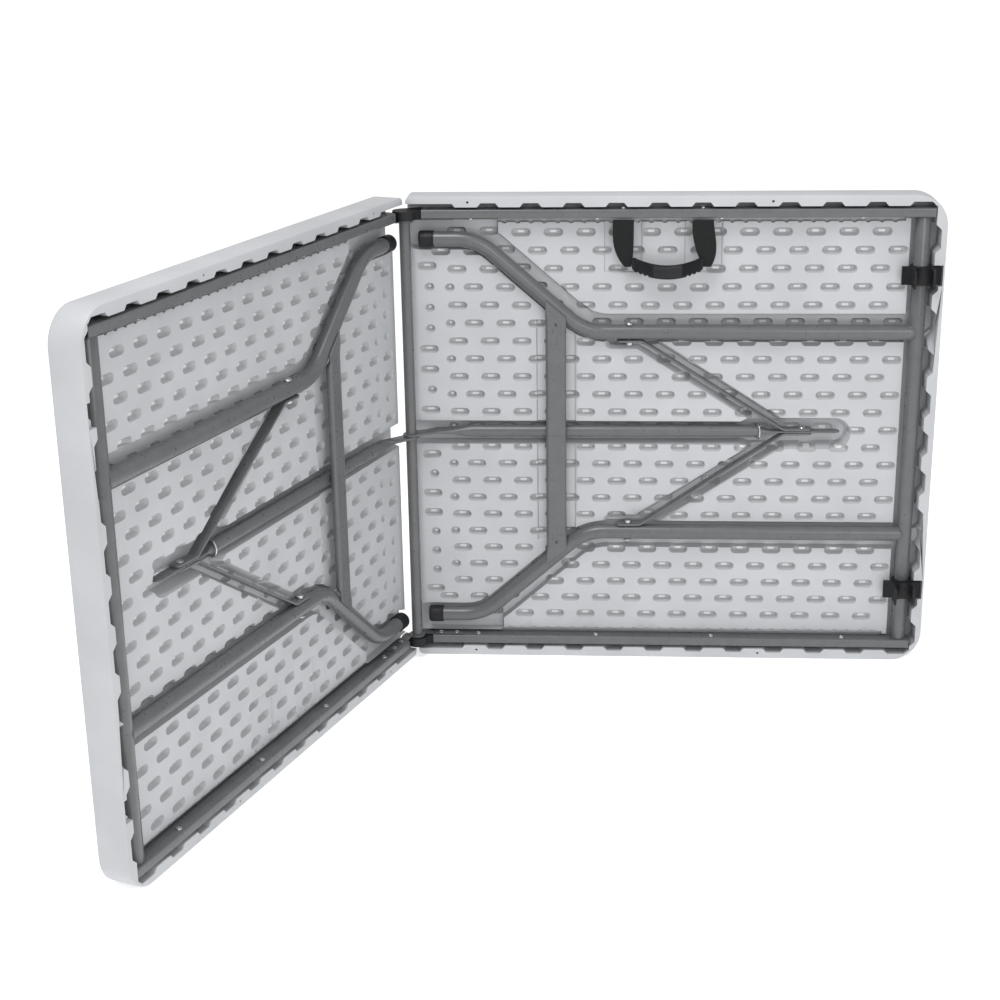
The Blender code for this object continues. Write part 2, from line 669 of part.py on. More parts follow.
def closing_clips(half, black, tags):
    """Snap clips round the right pivot tube; their jaws take the left pivot tube when closed."""
    tube = TUBE_RADIUS + RUNNING_GAP
    shell = tube + CLIP_WALL
    other = 2 * AXIS_DEPTH - LEG_DEPTH
    top = other + TUBE_RADIUS + CLIP_WALL
    wing = CLIP_WING_DEPTH
    wing_top = wing + 0.006
    jaw = TUBE_RADIUS + 0.0007
    outline = arc((PIVOT_AT, LEG_DEPTH), shell, 180, 360, 12)
    outline += [(PIVOT_AT + shell, wing), (PIVOT_AT + CLIP_WING, wing), (PIVOT_AT + CLIP_WING, wing_top)]
    outline += [(PIVOT_AT + shell, wing_top), (PIVOT_AT + shell, top), (PIVOT_AT + jaw, top)]
    outline += arc((PIVOT_AT, other), jaw, 0, -180, 12)
    outline += [(PIVOT_AT - jaw, top), (PIVOT_AT - shell, top), (PIVOT_AT - shell, wing_top)]
    outline += [(PIVOT_AT - CLIP_WING, wing_top), (PIVOT_AT - CLIP_WING, wing), (PIVOT_AT - shell, wing)]
    for tag, side in tags:
        low = side * CLIP_SPREAD - CLIP_LENGTH / 2
        high = low + CLIP_LENGTH
        clip = add(f"{tag}_closing_clip", prism(outline, low, high, "v"), black, half)
        bore = turned([(tube, low - 0.01), (tube, high + 0.01)], "v", (PIVOT_AT, LEG_DEPTH), sides=24)
        combine(clip, bore, "DIFFERENCE")


def handle_places():
    return (HANDLE_AT - HANDLE_SPAN / 2, HANDLE_AT + HANDLE_SPAN / 2)


def handle(half, webbing, black, zinc):
    """Two webbing straps that hang from the upper rail, and the moulded grip between them."""
    hang = RAIL_INNER - WEBBING_THICKNESS
    depth = RIM_DEPTH + GAP + WEBBING_THICKNESS / 2
    origin = (HANDLE_AT, hang, depth)
    swing = empty("handle_swing_axis", half, Matrix.Translation(origin))
    grip_ends = (GRIP_AT - GRIP_LENGTH / 2, GRIP_AT + GRIP_LENGTH / 2)
    bottom = hang - WEBBING_DROP
    shoulder = bottom + GRIP_HEIGHT
    edge = WEBBING_WIDTH / 2
    for tag, at, end, turn in (
        ("inner", handle_places()[0], grip_ends[0], -1),
        ("outer", handle_places()[1], grip_ends[1], 1),
    ):
        near = end + turn * GAP
        outline = [
            (at - turn * edge, hang),
            (at + turn * edge, hang),
            (at + turn * edge + HANDLE_LEAN, shoulder),
            (near + turn * 0.010, bottom),
            (near, bottom),
            (near, shoulder - 0.003),
            (at - turn * edge + HANDLE_LEAN * (1 + turn), shoulder),
        ]
        half_thick = WEBBING_THICKNESS / 2
        strap = prism(outline, depth - half_thick, depth + half_thick)
        add(f"handle_strap_{tag}", strap, webbing, swing, origin)

        place = (at, RAIL_FRONT - 0.009)
        shank = BOLT_RADIUS - 0.001
        face = RAIL_OUTER + GAP
        profile = [(shank, RAIL_INNER - 0.0005), (shank, face), (SCREW_HEAD_RADIUS, face)]
        profile += [(SCREW_HEAD_RADIUS, face + 0.001), (0.6 * SCREW_HEAD_RADIUS, face + 0.0022)]
        add(f"handle_screw_{tag}", turned(profile, "v", place, sides=12), zinc, half)

    drop = bottom + 0.005
    roll = empty("handle_grip_axis", swing, Matrix.Translation((0, drop - hang, 0)))
    rings = []
    steps = 12
    for i in range(steps + 1):
        share = i / steps
        u = grip_ends[0] + GAP + (GRIP_LENGTH - 2 * GAP) * share
        sag = GRIP_SAG * (1 - (2 * share - 1) ** 2)
        section = oval(GRIP_HEIGHT / 2, GRIP_THICKNESS / 2, 2.6)
        rings.append([(u, drop - sag + a, depth + b) for a, b in section])
    add("handle_grip", skin(rings), black, roll, (HANDLE_AT, drop, depth))


# The whole table


def centre_on_floor(root):
    """Moves the table so that its box stands on the floor, centred on the origin."""
    bpy.context.view_layer.update()
    graph = bpy.context.evaluated_depsgraph_get()
    corners = []
    for thing in bpy.data.objects:
        if thing.type == "MESH" and not thing.hide_render:
            seen = thing.evaluated_get(graph)
            corners += [seen.matrix_world @ v.co for v in seen.data.vertices]
    low = [min(c[i] for c in corners) for i in range(3)]
    high = [max(c[i] for c in corners) for i in range(3)]
    root.location += Vector((-(low[0] + high[0]) / 2, -(low[1] + high[1]) / 2, -low[2]))
    bpy.context.view_layer.update()


def half_frame(side_name, root):
    """A half's own frame. The left half is the right one turned over about the hinge axis."""
    if side_name == "right":
        turn = Matrix.Rotation(math.radians(90), 4, "X")
    else:
        turn = Matrix.Rotation(-FOLD_ANGLE, 4, "Z") @ Matrix.Rotation(math.radians(-90), 4, "X")
    return empty(f"{side_name}_half", root, turn @ Matrix.Translation((0, 0, -AXIS_DEPTH)))


def build():
    clear_scene()
    shell = material("white_polyethylene", (0.70, 0.72, 0.73), 0.5)
    steel = material("grey_powder_coat", (0.13, 0.14, 0.15), 0.45, 0.2)
    black = material("black_nylon", (0.02, 0.02, 0.022), 0.5)
    webbing = material("black_webbing", (0.012, 0.012, 0.013), 0.85)
    zinc = material("zinc_plate", (0.55, 0.56, 0.57), 0.3, 1.0)
    root = empty("folding_table", None, Matrix.Translation((0, 0, HALF_WIDTH)))
    for side_name in ("right", "left"):
        half = half_frame(side_name, root)
        up = 1 if side_name == "right" else -1
        tags = (("upper", up), ("lower", -up))
        half_top(side_name, half, shell)
        side_rails(side_name, half, steel, tags)
        hinge_plates(side_name, half, steel, tags)
        leg_frame(side_name, half, steel, black, zinc, tags)
        link_pivot = centre_link(side_name, half, steel)
        brace(side_name, link_pivot, steel, zinc, tags)
        lock_collar(side_name, link_pivot, zinc)
        if side_name == "right":
            hinge_knuckles(half, black, tags)
            cross_tube(half, steel)
            closing_clips(half, black, tags)
            handle(half, webbing, black, zinc)
        else:
            rail_end_plugs(half, black, tags)
    centre_on_floor(root)


build()
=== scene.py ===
import json
import math

import bmesh
import bpy
import numpy as np
from mathutils import Matrix, Vector, geometry


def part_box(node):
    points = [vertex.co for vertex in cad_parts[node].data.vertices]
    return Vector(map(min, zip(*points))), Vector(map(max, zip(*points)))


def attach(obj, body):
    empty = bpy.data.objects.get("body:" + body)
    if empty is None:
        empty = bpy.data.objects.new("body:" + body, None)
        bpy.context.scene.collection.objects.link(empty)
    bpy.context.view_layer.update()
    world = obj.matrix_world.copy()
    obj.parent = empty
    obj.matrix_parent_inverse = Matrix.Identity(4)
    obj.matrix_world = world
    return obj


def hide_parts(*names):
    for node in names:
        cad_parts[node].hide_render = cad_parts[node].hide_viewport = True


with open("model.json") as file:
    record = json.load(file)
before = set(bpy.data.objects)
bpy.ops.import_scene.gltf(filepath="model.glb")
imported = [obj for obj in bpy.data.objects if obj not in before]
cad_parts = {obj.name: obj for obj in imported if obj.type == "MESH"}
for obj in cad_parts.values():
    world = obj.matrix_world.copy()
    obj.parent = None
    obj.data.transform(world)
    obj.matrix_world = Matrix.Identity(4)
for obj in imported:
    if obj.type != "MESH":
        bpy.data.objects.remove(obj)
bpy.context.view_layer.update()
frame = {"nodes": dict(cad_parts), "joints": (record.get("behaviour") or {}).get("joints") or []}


# The frame of each half. u runs out from the hinge axis, v across the table and w from the table
# top down to the underside. Both halves share one drawing, and the left is the right turned over.

fold = next(joint for joint in frame["joints"] if joint["name"] == "table_fold")
AXIS = Vector(fold["pos_m"])
FOLD_ANGLE = -math.radians(fold["range_deg"][0])
AXIS_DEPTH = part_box("right_half_top")[1].y - AXIS.y

to_right = Matrix.Translation(AXIS) @ Matrix.Rotation(math.radians(90), 4, "X")
to_left = Matrix.Translation(AXIS) @ Matrix.Rotation(-FOLD_ANGLE, 4, "Z")
to_left = to_left @ Matrix.Rotation(math.radians(-90), 4, "X")
drop = Matrix.Translation((0, 0, -AXIS_DEPTH))
HALVES = {"right": to_right @ drop, "left": to_left @ drop}


def in_half(node):
    """The lowest and highest (u, v, w) of a node of the right half."""
    low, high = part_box(node)
    near = (low.x - AXIS.x, low.z - AXIS.z, AXIS_DEPTH - (high.y - AXIS.y))
    far = (high.x - AXIS.x, high.z - AXIS.z, AXIS_DEPTH - (low.y - AXIS.y))
    return Vector(near), Vector(far)


def tags(half):
    """(tag, side of v) of a half's two like pieces."""
    side = 1 if half == "right" else -1
    return (("upper", side), ("lower", -side))


# The camera stands in front of the right half, a little above the table, and looks slightly down.

camera_data = bpy.data.cameras.new("camera")
camera_data.lens = 64.4
camera = bpy.data.objects.new("camera", camera_data)
bpy.context.scene.collection.objects.link(camera)
bpy.context.scene.camera = camera
yaw, pitch, roll = math.radians(-3.873), math.radians(19.12), math.radians(-0.878)
camera.location = (AXIS.x + 0.3002, AXIS.y - 2.5140, 1.1262)
level = Matrix.Rotation(-yaw, 4, "Z") @ Matrix.Rotation(math.radians(90) - pitch, 4, "X")
camera.rotation_euler = (level @ Matrix.Rotation(roll, 4, "Z")).to_euler()


# The studio: a wide pale floor that runs out of sight, an even white surround, a large soft box
# overhead and a weaker one in front.


def linear(code):
    """An sRGB hex colour as linear RGBA."""
    shares = [int(code[i:i + 2], 16) / 255 for i in (1, 3, 5)]
    return (*[s / 12.92 if s <= 0.04045 else ((s + 0.055) / 1.055) ** 2.4 for s in shares], 1.0)


def add_node(tree, kind, inputs=None, **settings):
    """Adds a node. Each input is another node's output to link, or a plain value."""
    made = tree.nodes.new(kind)
    for name, value in settings.items():
        setattr(made, name, value)
    for key, value in (inputs or {}).items():
        if isinstance(value, bpy.types.NodeSocket):
            tree.links.new(value, made.inputs[key])
        else:
            made.inputs[key].default_value = value
    return made


def new_material(name, colour, roughness, metallic=0.0, ior=1.5):
    """A Principled material, its node tree, its shader and its Object coordinates."""
    made = bpy.data.materials.new(name)
    made.use_nodes = True
    tree = made.node_tree
    shader = tree.nodes["Principled BSDF"]
    shader.inputs["Base Color"].default_value = linear(colour)
    shader.inputs["Roughness"].default_value = roughness
    shader.inputs["Metallic"].default_value = metallic
    shader.inputs["IOR"].default_value = ior
    place = add_node(tree, "ShaderNodeTexCoord").outputs["Object"]
    return made, tree, shader, place


def noise(tree, place, size, detail=2.0, roughness=0.5):
    """Noise whose blobs are about size across, in metres."""
    inputs = {"Vector": place, "Scale": 1 / size, "Detail": detail, "Roughness": roughness}
    return add_node(tree, "ShaderNodeTexNoise", inputs).outputs["Fac"]


def blend_colours(tree, share, first, second):
    """A colour between two hex colours by a share from 0 to 1."""
    mix = add_node(tree, "ShaderNodeMix", data_type="RGBA")
    tree.links.new(share, mix.inputs["Factor"])
    mix.inputs[6].default_value = linear(first)
    mix.inputs[7].default_value = linear(second)
    return mix.outputs[2]


def spread(tree, value, low, high, new_low=0.0, new_high=1.0):
    """Stretches the values from low to high over new_low to new_high."""
    inputs = {0: value, 1: low, 2: high, 3: new_low, 4: new_high}
    return add_node(tree, "ShaderNodeMapRange", inputs).outputs[0]


def bump(tree, height, depth, strength=1.0, under=None):
    """The normal of a surface whose relief is height times depth, in metres."""
    inputs = {"Height": height, "Distance": depth, "Strength": strength}
    if under:
        inputs["Normal"] = under
    return add_node(tree, "ShaderNodeBump", inputs).outputs["Normal"]


floor_finish, tree, shader, place = new_material("studio_floor", "#FFFFFF", 0.9)
floor = bpy.data.objects.new("studio_floor", bpy.data.meshes.new("studio_floor"))
floor.data.from_pydata([(-60, -20, 0), (60, -20, 0), (60, 100, 0), (-60, 100, 0)], [], [(0, 1, 2, 3)])
shader.inputs["Emission Color"].default_value = (1, 1, 1, 1)
shader.inputs["Emission Strength"].default_value = 0.40
floor.data.materials.append(floor_finish)
bpy.context.scene.collection.objects.link(floor)

world = bpy.data.worlds.new("studio")
world.use_nodes = True
world.node_tree.nodes["Background"].inputs["Color"].default_value = (1, 1, 1, 1)
world.node_tree.nodes["Background"].inputs["Strength"].default_value = 0.62
bpy.context.scene.world = world
bpy.context.scene.view_settings.view_transform = "Standard"

for name, spot, size, power in (
    ("overhead_box", (-0.5, -0.9, 3.0), 1.1, 42.0),
    ("front_box", (1.2, -3.4, 2.2), 1.4, 30.0),
):
    light = bpy.data.lights.new(name, "AREA")
    light.size = size
    light.energy = power
    lamp = bpy.data.objects.new(name, light)
    lamp.location = spot
    lamp.rotation_euler = (Vector(spot) - Vector((0, 0, 0.35))).to_track_quat("Z", "Y").to_euler()
    bpy.context.scene.collection.objects.link(lamp)


# Finished pieces. Each has its place in its mesh, stands for the plain solids named last, and moves
# with one body of the frame.


def finished(name, mesh, matrix, material, body, *nodes):
    mesh.transform(matrix)
    mesh.materials.clear()
    mesh.materials.append(material)
    made = bpy.data.objects.new(name, mesh)
    bpy.context.scene.collection.objects.link(made)
    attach(made, body)
    if nodes:
        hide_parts(*nodes)
    return made


def mesh_of(bm, name, sharp=35.0):
    mesh = bpy.data.meshes.new(name)
    bm.to_mesh(mesh)
    bm.free()
    mesh.shade_smooth()
    mesh.set_sharp_from_angle(angle=math.radians(sharp))
    return mesh


# Half tops: two like shells of blow-moulded polyethylene with a deep rim. The underside is pinched
# through to the top skin by rows of short slots, and is recessed for the rails, legs and brace.

LIP_WIDTH = 0.0155
TRAY_DEPTH = 0.027
GROOVE_DEPTH = 0.018
RECESS_DEPTH = 0.0165
LIP_ROUND = 0.0015
EDGE_ROUND = 0.005
DRAFT = 0.0012
SLOT_HALF_WIDTH = 0.0063
SLOT_RUN = 0.0160
ROUND_RUN = 0.0020
SLOT_PITCH = 0.0464
SLOT_DEPTH = 0.0075
SKIN_DEPTH = 0.005
ROW_PITCH = 0.0267
POCKET_PITCH = 0.0605
POCKET_DEPTH = GROOVE_DEPTH + 0.0006
WING_DEPTH = 0.0380

half_low, half_high = in_half("right_half_top")
RIM_DEPTH = half_high.z
LIP_INNER = half_high.y - LIP_WIDTH
TRAY_END = half_high.x - LIP_WIDTH
rail_low, rail_high = in_half("right_upper_rail")
pivot_low, pivot_high = in_half("right_leg_pivot_tube")
PIVOT_AT = (pivot_low.x + pivot_high.x) / 2
LEG_DEPTH = (pivot_low.z + pivot_high.z) / 2
TUBE_RADIUS = (pivot_high.z - pivot_low.z) / 2
leg_low, leg_high = in_half("right_upper_leg")
LEG_SPREAD_TOP = leg_low.y + TUBE_RADIUS
LEG_SPREAD_FOOT = leg_high.y - TUBE_RADIUS
cap_low, cap_high = in_half("right_upper_foot_cap")
FOOT_RUN = 0.083
BEND_RUN = 0.155
BEND_RADIUS = 0.080


def arc(centre, radius, start, end, steps):
    """Points on an arc, angles in degrees."""
    angles = [math.radians(start + (end - start) * i / steps) for i in range(steps + 1)]
    return [(centre[0] + radius * math.cos(a), centre[1] + radius * math.sin(a)) for a in angles]


def plan(inset):
    """The outline of a half top, large corners at the outer end and small ones at the hinge."""
    a, b, v = half_low.x + inset, half_high.x - inset, half_high.y - inset
    small, large = 0.008 - inset, 0.045 - inset
    points = arc((b - large, v - large), large, 0, 90, 16)
    points += arc((a + small, v - small), small, 90, 180, 4)
    points += arc((a + small, small - v), small, 180, 270, 4)
    return points + arc((b - large, large - v), large, 270, 360, 16)


def leg_corners(side, start):
    """The centre line of a folded leg, before its bends are rounded."""
    bend = cap_low.x + FOOT_RUN
    return [
        Vector((start, side * LEG_SPREAD_FOOT)),
        Vector((bend, side * LEG_SPREAD_FOOT)),
        Vector((bend + BEND_RUN, side * LEG_SPREAD_TOP)),
        Vector((PIVOT_AT, side * LEG_SPREAD_TOP)),
    ]


def rounded(corners, radius, steps):
    """A flat path with its inner corners rounded."""
    path = [corners[0]]
    for before, corner, after in zip(corners, corners[1:], corners[2:]):
        back, ahead = (before - corner).normalized(), (after - corner).normalized()
        half_turn = back.angle(ahead) / 2
        centre = corner + (back + ahead).normalized() * radius / math.sin(half_turn)
        reach = radius / math.tan(half_turn)
        start, end = corner + back * reach - centre, corner + ahead * reach - centre
        begin = math.atan2(start.y, start.x)
        sweep = math.remainder(math.atan2(end.y, end.x) - begin, math.tau)
        bend = arc(centre, radius, math.degrees(begin), math.degrees(begin + sweep), steps)
        path += [Vector(point) for point in bend]
    return path + [corners[-1]]


def polygon(points):
    """A convex hollow, as its depth-inside function and its outline at any inset."""
    corners = [Vector(point) for point in points]
    normals = []
    for a, b in zip(corners, corners[1:] + corners[:1]):
        along = (b - a).normalized()
        normals.append(Vector((-along.y, along.x)))

    def inside(u, v):
        gaps = [(u - a.x) * n.x + (v - a.y) * n.y for a, n in zip(corners, normals)]
        return np.minimum.reduce(gaps)

    def outline(inset):
        found = []
        for i, corner in enumerate(corners):
            before, after = normals[i - 1], normals[i]
            found.append(corner + (before + after) * inset / (1 + before.dot(after)))
        return found

    return inside, outline


def rectangle(u0, v0, u1, v1):
    return polygon([(u0, v0), (u1, v0), (u1, v1), (u0, v1)])


def band(path, half_width, steps=4):
    """A hollow of constant width along a path, with round ends."""
    runs = [(b - a).normalized() for a, b in zip(path, path[1:])]
    normals = []
    for before, after in zip(runs[:1] + runs, runs + runs[-1:]):
        along = (before + after).normalized()
        normals.append(Vector((-along.y, along.x)) / along.dot(after))

    def inside(u, v):
        nearest = np.full(np.shape(u), np.inf)
        for a, b in zip(path, path[1:]):
            along = b - a
            share = ((u - a.x) * along.x + (v - a.y) * along.y) / along.length_squared
            share = np.clip(share, 0, 1)
            away = np.hypot(u - a.x - share * along.x, v - a.y - share * along.y)
            nearest = np.minimum(nearest, away)
        return half_width - nearest

    def outline(inset):
        width = half_width - inset
        first, last = (math.degrees(math.atan2(n.y, n.x)) for n in (normals[0], normals[-1]))
        left = [p + n * width for p, n in zip(path, normals)][1:-1]
        right = [p - n * width for p, n in zip(path, normals)][1:-1]
        start = [Vector(p) for p in arc(path[0], width, first + 180, first, 2 * steps)]
        end = [Vector(p) for p in arc(path[-1], width, last, last - 180, 2 * steps)]
        return start + left + end + right[::-1]

    return inside, outline


hollows = []


def carve(shape, rim, floor, draft=DRAFT, floor_slope=0.0):
    """Adds a hollow: its shape, the insets and shares of its wall, its rim and its floor."""
    hollows.append((*shape, (0, draft), (0, 1), rim, floor, floor_slope))


def beside(side, u0, v0, u1, v1):
    """A rectangle drawn for positive v, turned over where side is -1."""
    low, high = sorted((side * v0, side * v1))
    return rectangle(u0, low, u1, high)


def mirrored(side, points):
    """A convex outline drawn for positive v, turned over where side is -1."""
    placed = [(a, side * b) for a, b in points]
    return polygon(placed if side > 0 else placed[::-1])


OPEN = half_low.x - 0.004
RAIL_SIDE = rail_low.y
carve(rectangle(OPEN, -LIP_INNER, TRAY_END, LIP_INNER), RIM_DEPTH, TRAY_DEPTH)
tray_pivot = rectangle(PIVOT_AT - 0.0165, 0.004 - LIP_INNER, TRAY_END - DRAFT, LIP_INNER - 0.004)
carve(tray_pivot, TRAY_DEPTH, RECESS_DEPTH, DRAFT / 2)
for side in (-1, 1):
    groove = beside(side, OPEN - 0.001, RAIL_SIDE - 0.0035, TRAY_END - 0.0008, LIP_INNER - DRAFT / 2)
    carve(groove, TRAY_DEPTH, GROOVE_DEPTH, 0.0008)
    path = rounded(leg_corners(side, cap_low.x - 0.004), BEND_RADIUS, 8)
    path = [point + Vector((0.004, side * 0.005)) for point in path]
    carve(band(path, 0.021), TRAY_DEPTH, RECESS_DEPTH, 0.003)
    beside_foot = beside(side, OPEN - 0.0005, LEG_SPREAD_FOOT - 0.010, 0.132, RAIL_SIDE - 0.004)
    carve(beside_foot, TRAY_DEPTH, RECESS_DEPTH, 0.002)
    ledge = beside(side, 0.128, RAIL_SIDE - 0.0075, TRAY_END - 0.040, RAIL_SIDE - 0.002)
    carve(ledge, TRAY_DEPTH, TRAY_DEPTH - 0.0045, 0.0008)
    for i in range(31):
        at = Vector((0.122 + 0.019 * i, side * (RAIL_SIDE - 0.0072)))
        notch = band([at - Vector((0.001, 0)), at + Vector((0.001, 0))], 0.0024, 3)
        carve(notch, TRAY_DEPTH, TRAY_DEPTH - 0.0050, 0.0008)
    for i in range(11):
        at, base, top = 0.119 + POCKET_PITCH * i, 0.0165, 0.0105
        if i == 10:
            at, base, top = 0.7265, 0.0195, 0.0125
        corners = [
            (at - base, LIP_INNER - 0.003), (at + base, LIP_INNER - 0.003), (at + base - 0.001, LIP_INNER),
            (at + top, LIP_INNER + 0.0058), (at - top, LIP_INNER + 0.0058), (at - base + 0.001, LIP_INNER),
        ]
        carve(mirrored(side, corners), RIM_DEPTH, POCKET_DEPTH, 0.0009)
    corners = [(OPEN, LIP_INNER - 0.003), (0.074, LIP_INNER - 0.003), (0.068, LIP_INNER + 0.005),
               (OPEN, LIP_INNER + 0.005)]
    carve(mirrored(side, corners), RIM_DEPTH, POCKET_DEPTH, 0.0009)
for i in range(-5, 6):
    at = -0.010 + 0.060 * i
    corners = [(TRAY_END - 0.003, at - 0.021), (TRAY_END, at - 0.020), (TRAY_END + 0.0075, at - 0.013),
               (TRAY_END + 0.0075, at + 0.013), (TRAY_END, at + 0.020), (TRAY_END - 0.003, at + 0.021)]
    carve(polygon(corners), RIM_DEPTH, 0.009, 0.0011)

clip_low, clip_high = in_half("upper_closing_clip")
for side in (-1, 1):
    near, far = clip_low.y - 0.002, clip_high.y + 0.002
    under_wing = beside(side, TRAY_END - 0.002, near, half_high.x - 0.0025, far)
    carve(under_wing, RIM_DEPTH, WING_DEPTH, 0.0004)

rivet_at = Vector(next(j for j in frame["joints"] if j["name"] == "right_brace_swing")["pos_m"]) - AXIS
LINK_END = Vector((rivet_at.x, 0, AXIS_DEPTH - rivet_at.y))
bar_low, bar_high = in_half("right_leg_crossbar")
strap_low, _ = in_half("right_upper_brace_strap")
under_link = rectangle(OPEN - 0.0015, -0.0180, LINK_END.x - 0.02, 0.0180)
carve(under_link, TRAY_DEPTH, 0.0137, 0.0045, -0.0132)
around_rivet = band([Vector((LINK_END.x - 0.075, 0)), Vector((LINK_END.x + 0.046, 0))], 0.024, 8)
carve(around_rivet, TRAY_DEPTH, 0.0070, 0.0075)
reach = bar_high.y - 0.02
under_bar = rectangle(bar_low.x - 0.014, -reach, bar_high.x + 0.014, reach)
carve(under_bar, TRAY_DEPTH, TRAY_DEPTH - 0.003, 0.002)
for side in (-1, 1):
    arm = [Vector((strap_low.x - 0.006, side * 0.141)), Vector((strap_low.x + 0.034, side * 0.141)),
           Vector((LINK_END.x - 0.030, side * 0.006))]
    carve(band(arm, 0.0140), TRAY_DEPTH, 0.0345, 0.0065, -0.0455)
handle_low, handle_high = in_half("handle_strap_inner")
far_low, far_high = in_half("handle_strap_outer")
for centre in ((handle_low.x + handle_high.x) / 2, (far_low.x + far_high.x) / 2):
    behind_strap = rectangle(centre - 0.027, 0.240, centre + 0.027, rail_low.y - 0.003)
    carve(behind_strap, TRAY_DEPTH, TRAY_DEPTH - 0.0022, 0.0015)


def level_at(shapes, u, v):
    """How deep the underside lies at each point: as deep as its deepest hollow."""
    depth = np.full(np.shape(u), RIM_DEPTH)
    for inside, _, insets, shares, rim, floor, floor_slope in shapes:
        away = inside(u, v)
        within = away > -1e-7
        share = np.interp(away[within], insets, shares)
        found = rim + (floor + floor_slope * u[within] - rim) * share
        depth[within] = np.minimum(depth[within], found)
    return depth


def dent(at, row, run, half_width, insets, shares, amount):
    """A slot or hole pressed in below whatever level it meets: its shape, wall and depth."""
    path = [Vector((at - run / 2, row)), Vector((at + run / 2, row))]
    return (*band(path, half_width, 3), insets, shares, amount)


slots, cores, vents = [], [], []


def pinch_in(at, row, run):
    """A slot where the underside is pinched in, with a small core welded to the top skin."""
    insets, shares = (0, 0.0005, 0.0028, 0.0038), (0, 0.12, 0.90, 1)
    slots.append(dent(at, row, run, SLOT_HALF_WIDTH, insets, shares, SLOT_DEPTH))
    cores.append(dent(at, row, 0.40 * run, 0.0021, (0, 0.0006), (0, 1), 0.0008))


for row_number in range(-12, 12):
    row = 0.0045 + ROW_PITCH * row_number
    if abs(row) > rail_low.y - 0.012:
        continue
    column = 0.0486 if abs(row_number) == 10 else 0.0948 if row_number % 2 == 0 else 0.0714
    while column < PIVOT_AT - 0.030:
        pinch_in(column, row, SLOT_RUN)
        column += SLOT_PITCH
    if row_number % 2 == 0 and abs(row_number) < 10:
        pinch_in(0.0605, row, ROUND_RUN)
# The column next to the hinge has its own pitch, and some of its slots are round.
for i in range(8):
    run = ROUND_RUN if i in (1, 4, 5, 6) else SLOT_RUN
    for side in (-1, 1):
        pinch_in(0.0310 - 0.2 * (run - ROUND_RUN), side * (0.0341 + 0.0308 * i), run)
for side in (-1, 1):
    for at in (0.090, 0.519):
        vents.append(dent(at, side * 0.3440, 0.0004, 0.0017, (0, 0.0003), (0, 1), 0.016))

outlines = [plan(LIP_ROUND)]
for _, outline, insets, *_ in hollows + slots + cores + vents:
    outlines += [outline(inset) for inset in insets]
points, edges = [], []
for outline in outlines:
    first, count = len(points), len(outline)
    points += [Vector(point) for point in outline]
    edges += [(first + i, first + (i + 1) % count) for i in range(count)]
flat, _, triangles, *_ = geometry.delaunay_2d_cdt(points, edges, [], 0, 5e-6)

u, v = (np.array([point[i] for point in flat]) for i in (0, 1))
depth = level_at(hollows, u, v)
# Shares per point of the painted light on slot cores and of the painted shade on the walls of slots and
# vents.
welded, painted_wall_shade = np.zeros(len(u)), np.zeros(len(u))
for shapes, marks in ((slots, painted_wall_shade), (cores, welded), (vents, painted_wall_shade)):
    for inside, _, insets, shares, amount in shapes:
        away = inside(u, v)
        depth -= amount * np.interp(away, insets, shares)
        np.maximum(marks, np.clip((away - 0.0001) / 0.0004, 0, 1), out=marks)
depth = np.maximum(depth, SKIN_DEPTH)
within_plan, _ = polygon(plan(LIP_ROUND))
bm = bmesh.new()
# Two point layers carry the painted light on slot cores and the painted shade on slot and vent walls to the
# material.
painted_core_glow, wall = (bm.verts.layers.float.new(name) for name in ("painted_core_glow", "wall"))
verts = [bm.verts.new((a, b, c)) for a, b, c in zip(u, v, depth)]
for vert, core_glow_share, wall_shade_share in zip(verts, welded, painted_wall_shade):
    vert[painted_core_glow], vert[wall] = core_glow_share, wall_shade_share
for triangle in triangles:
    middle = sum((Vector(flat[i]) for i in triangle), Vector((0, 0))) / 3
    if within_plan(middle.x, middle.y) > 0:
        bm.faces.new([verts[i] for i in triangle])
bmesh.ops.delete(bm, geom=[vert for vert in bm.verts if not vert.link_faces], context="VERTS")


def outward(u, v):
    """The direction out of the plan at a point on its edge."""
    for centre_u, centre_v, radius in (
        (half_high.x - 0.045, half_high.y - 0.045, 1),
        (half_low.x + 0.008, half_high.y - 0.008, -1),
    ):
        away = Vector((u - centre_u, abs(v) - centre_v))
        if away.x * radius > 0 and away.y > 0:
            return Vector((away.x, math.copysign(away.y, v))).normalized()
    if abs(v) > half_high.y - 0.006:
        return Vector((0, math.copysign(1, v)))
    return Vector((math.copysign(1, u - PIVOT_AT / 2), 0))


following = {}
for edge in bm.edges:
    if len(edge.link_faces) == 1:
        loop = edge.link_loops[0]
        following[loop.vert] = loop.link_loop_next.vert
ring = [next(iter(following))]
while following[ring[-1]] is not ring[0]:
    ring.append(following[ring[-1]])
start_ring = [vert.co.copy() for vert in ring]
ways = [outward(co.x, co.y) for co in start_ring]
for inset, level in (
    (0.3 * LIP_ROUND, None), (0, None), (0, EDGE_ROUND), (0.08 * EDGE_ROUND, 0.6 * EDGE_ROUND),
    (0.3 * EDGE_ROUND, 0.3 * EDGE_ROUND), (0.6 * EDGE_ROUND, 0.08 * EDGE_ROUND),
    (EDGE_ROUND, 0), (2 * EDGE_ROUND, 0),
):
    following_ring = []
    for co, way in zip(start_ring, ways):
        own = co.z - (LIP_ROUND if inset == 0 else 0.3 * LIP_ROUND)
        place = co.xy + way * (LIP_ROUND - inset)
        following_ring.append(bm.verts.new((*place, own if level is None else level)))
    for i in range(len(ring)):
        j = (i + 1) % len(ring)
        bm.faces.new((ring[j], ring[i], following_ring[i], following_ring[j]))
    ring = following_ring
bm.faces.new(ring[::-1])

polyethylene, tree, shader, place = new_material("blow_moulded_polyethylene", "#B6B8BB", 0.48, ior=1.54)
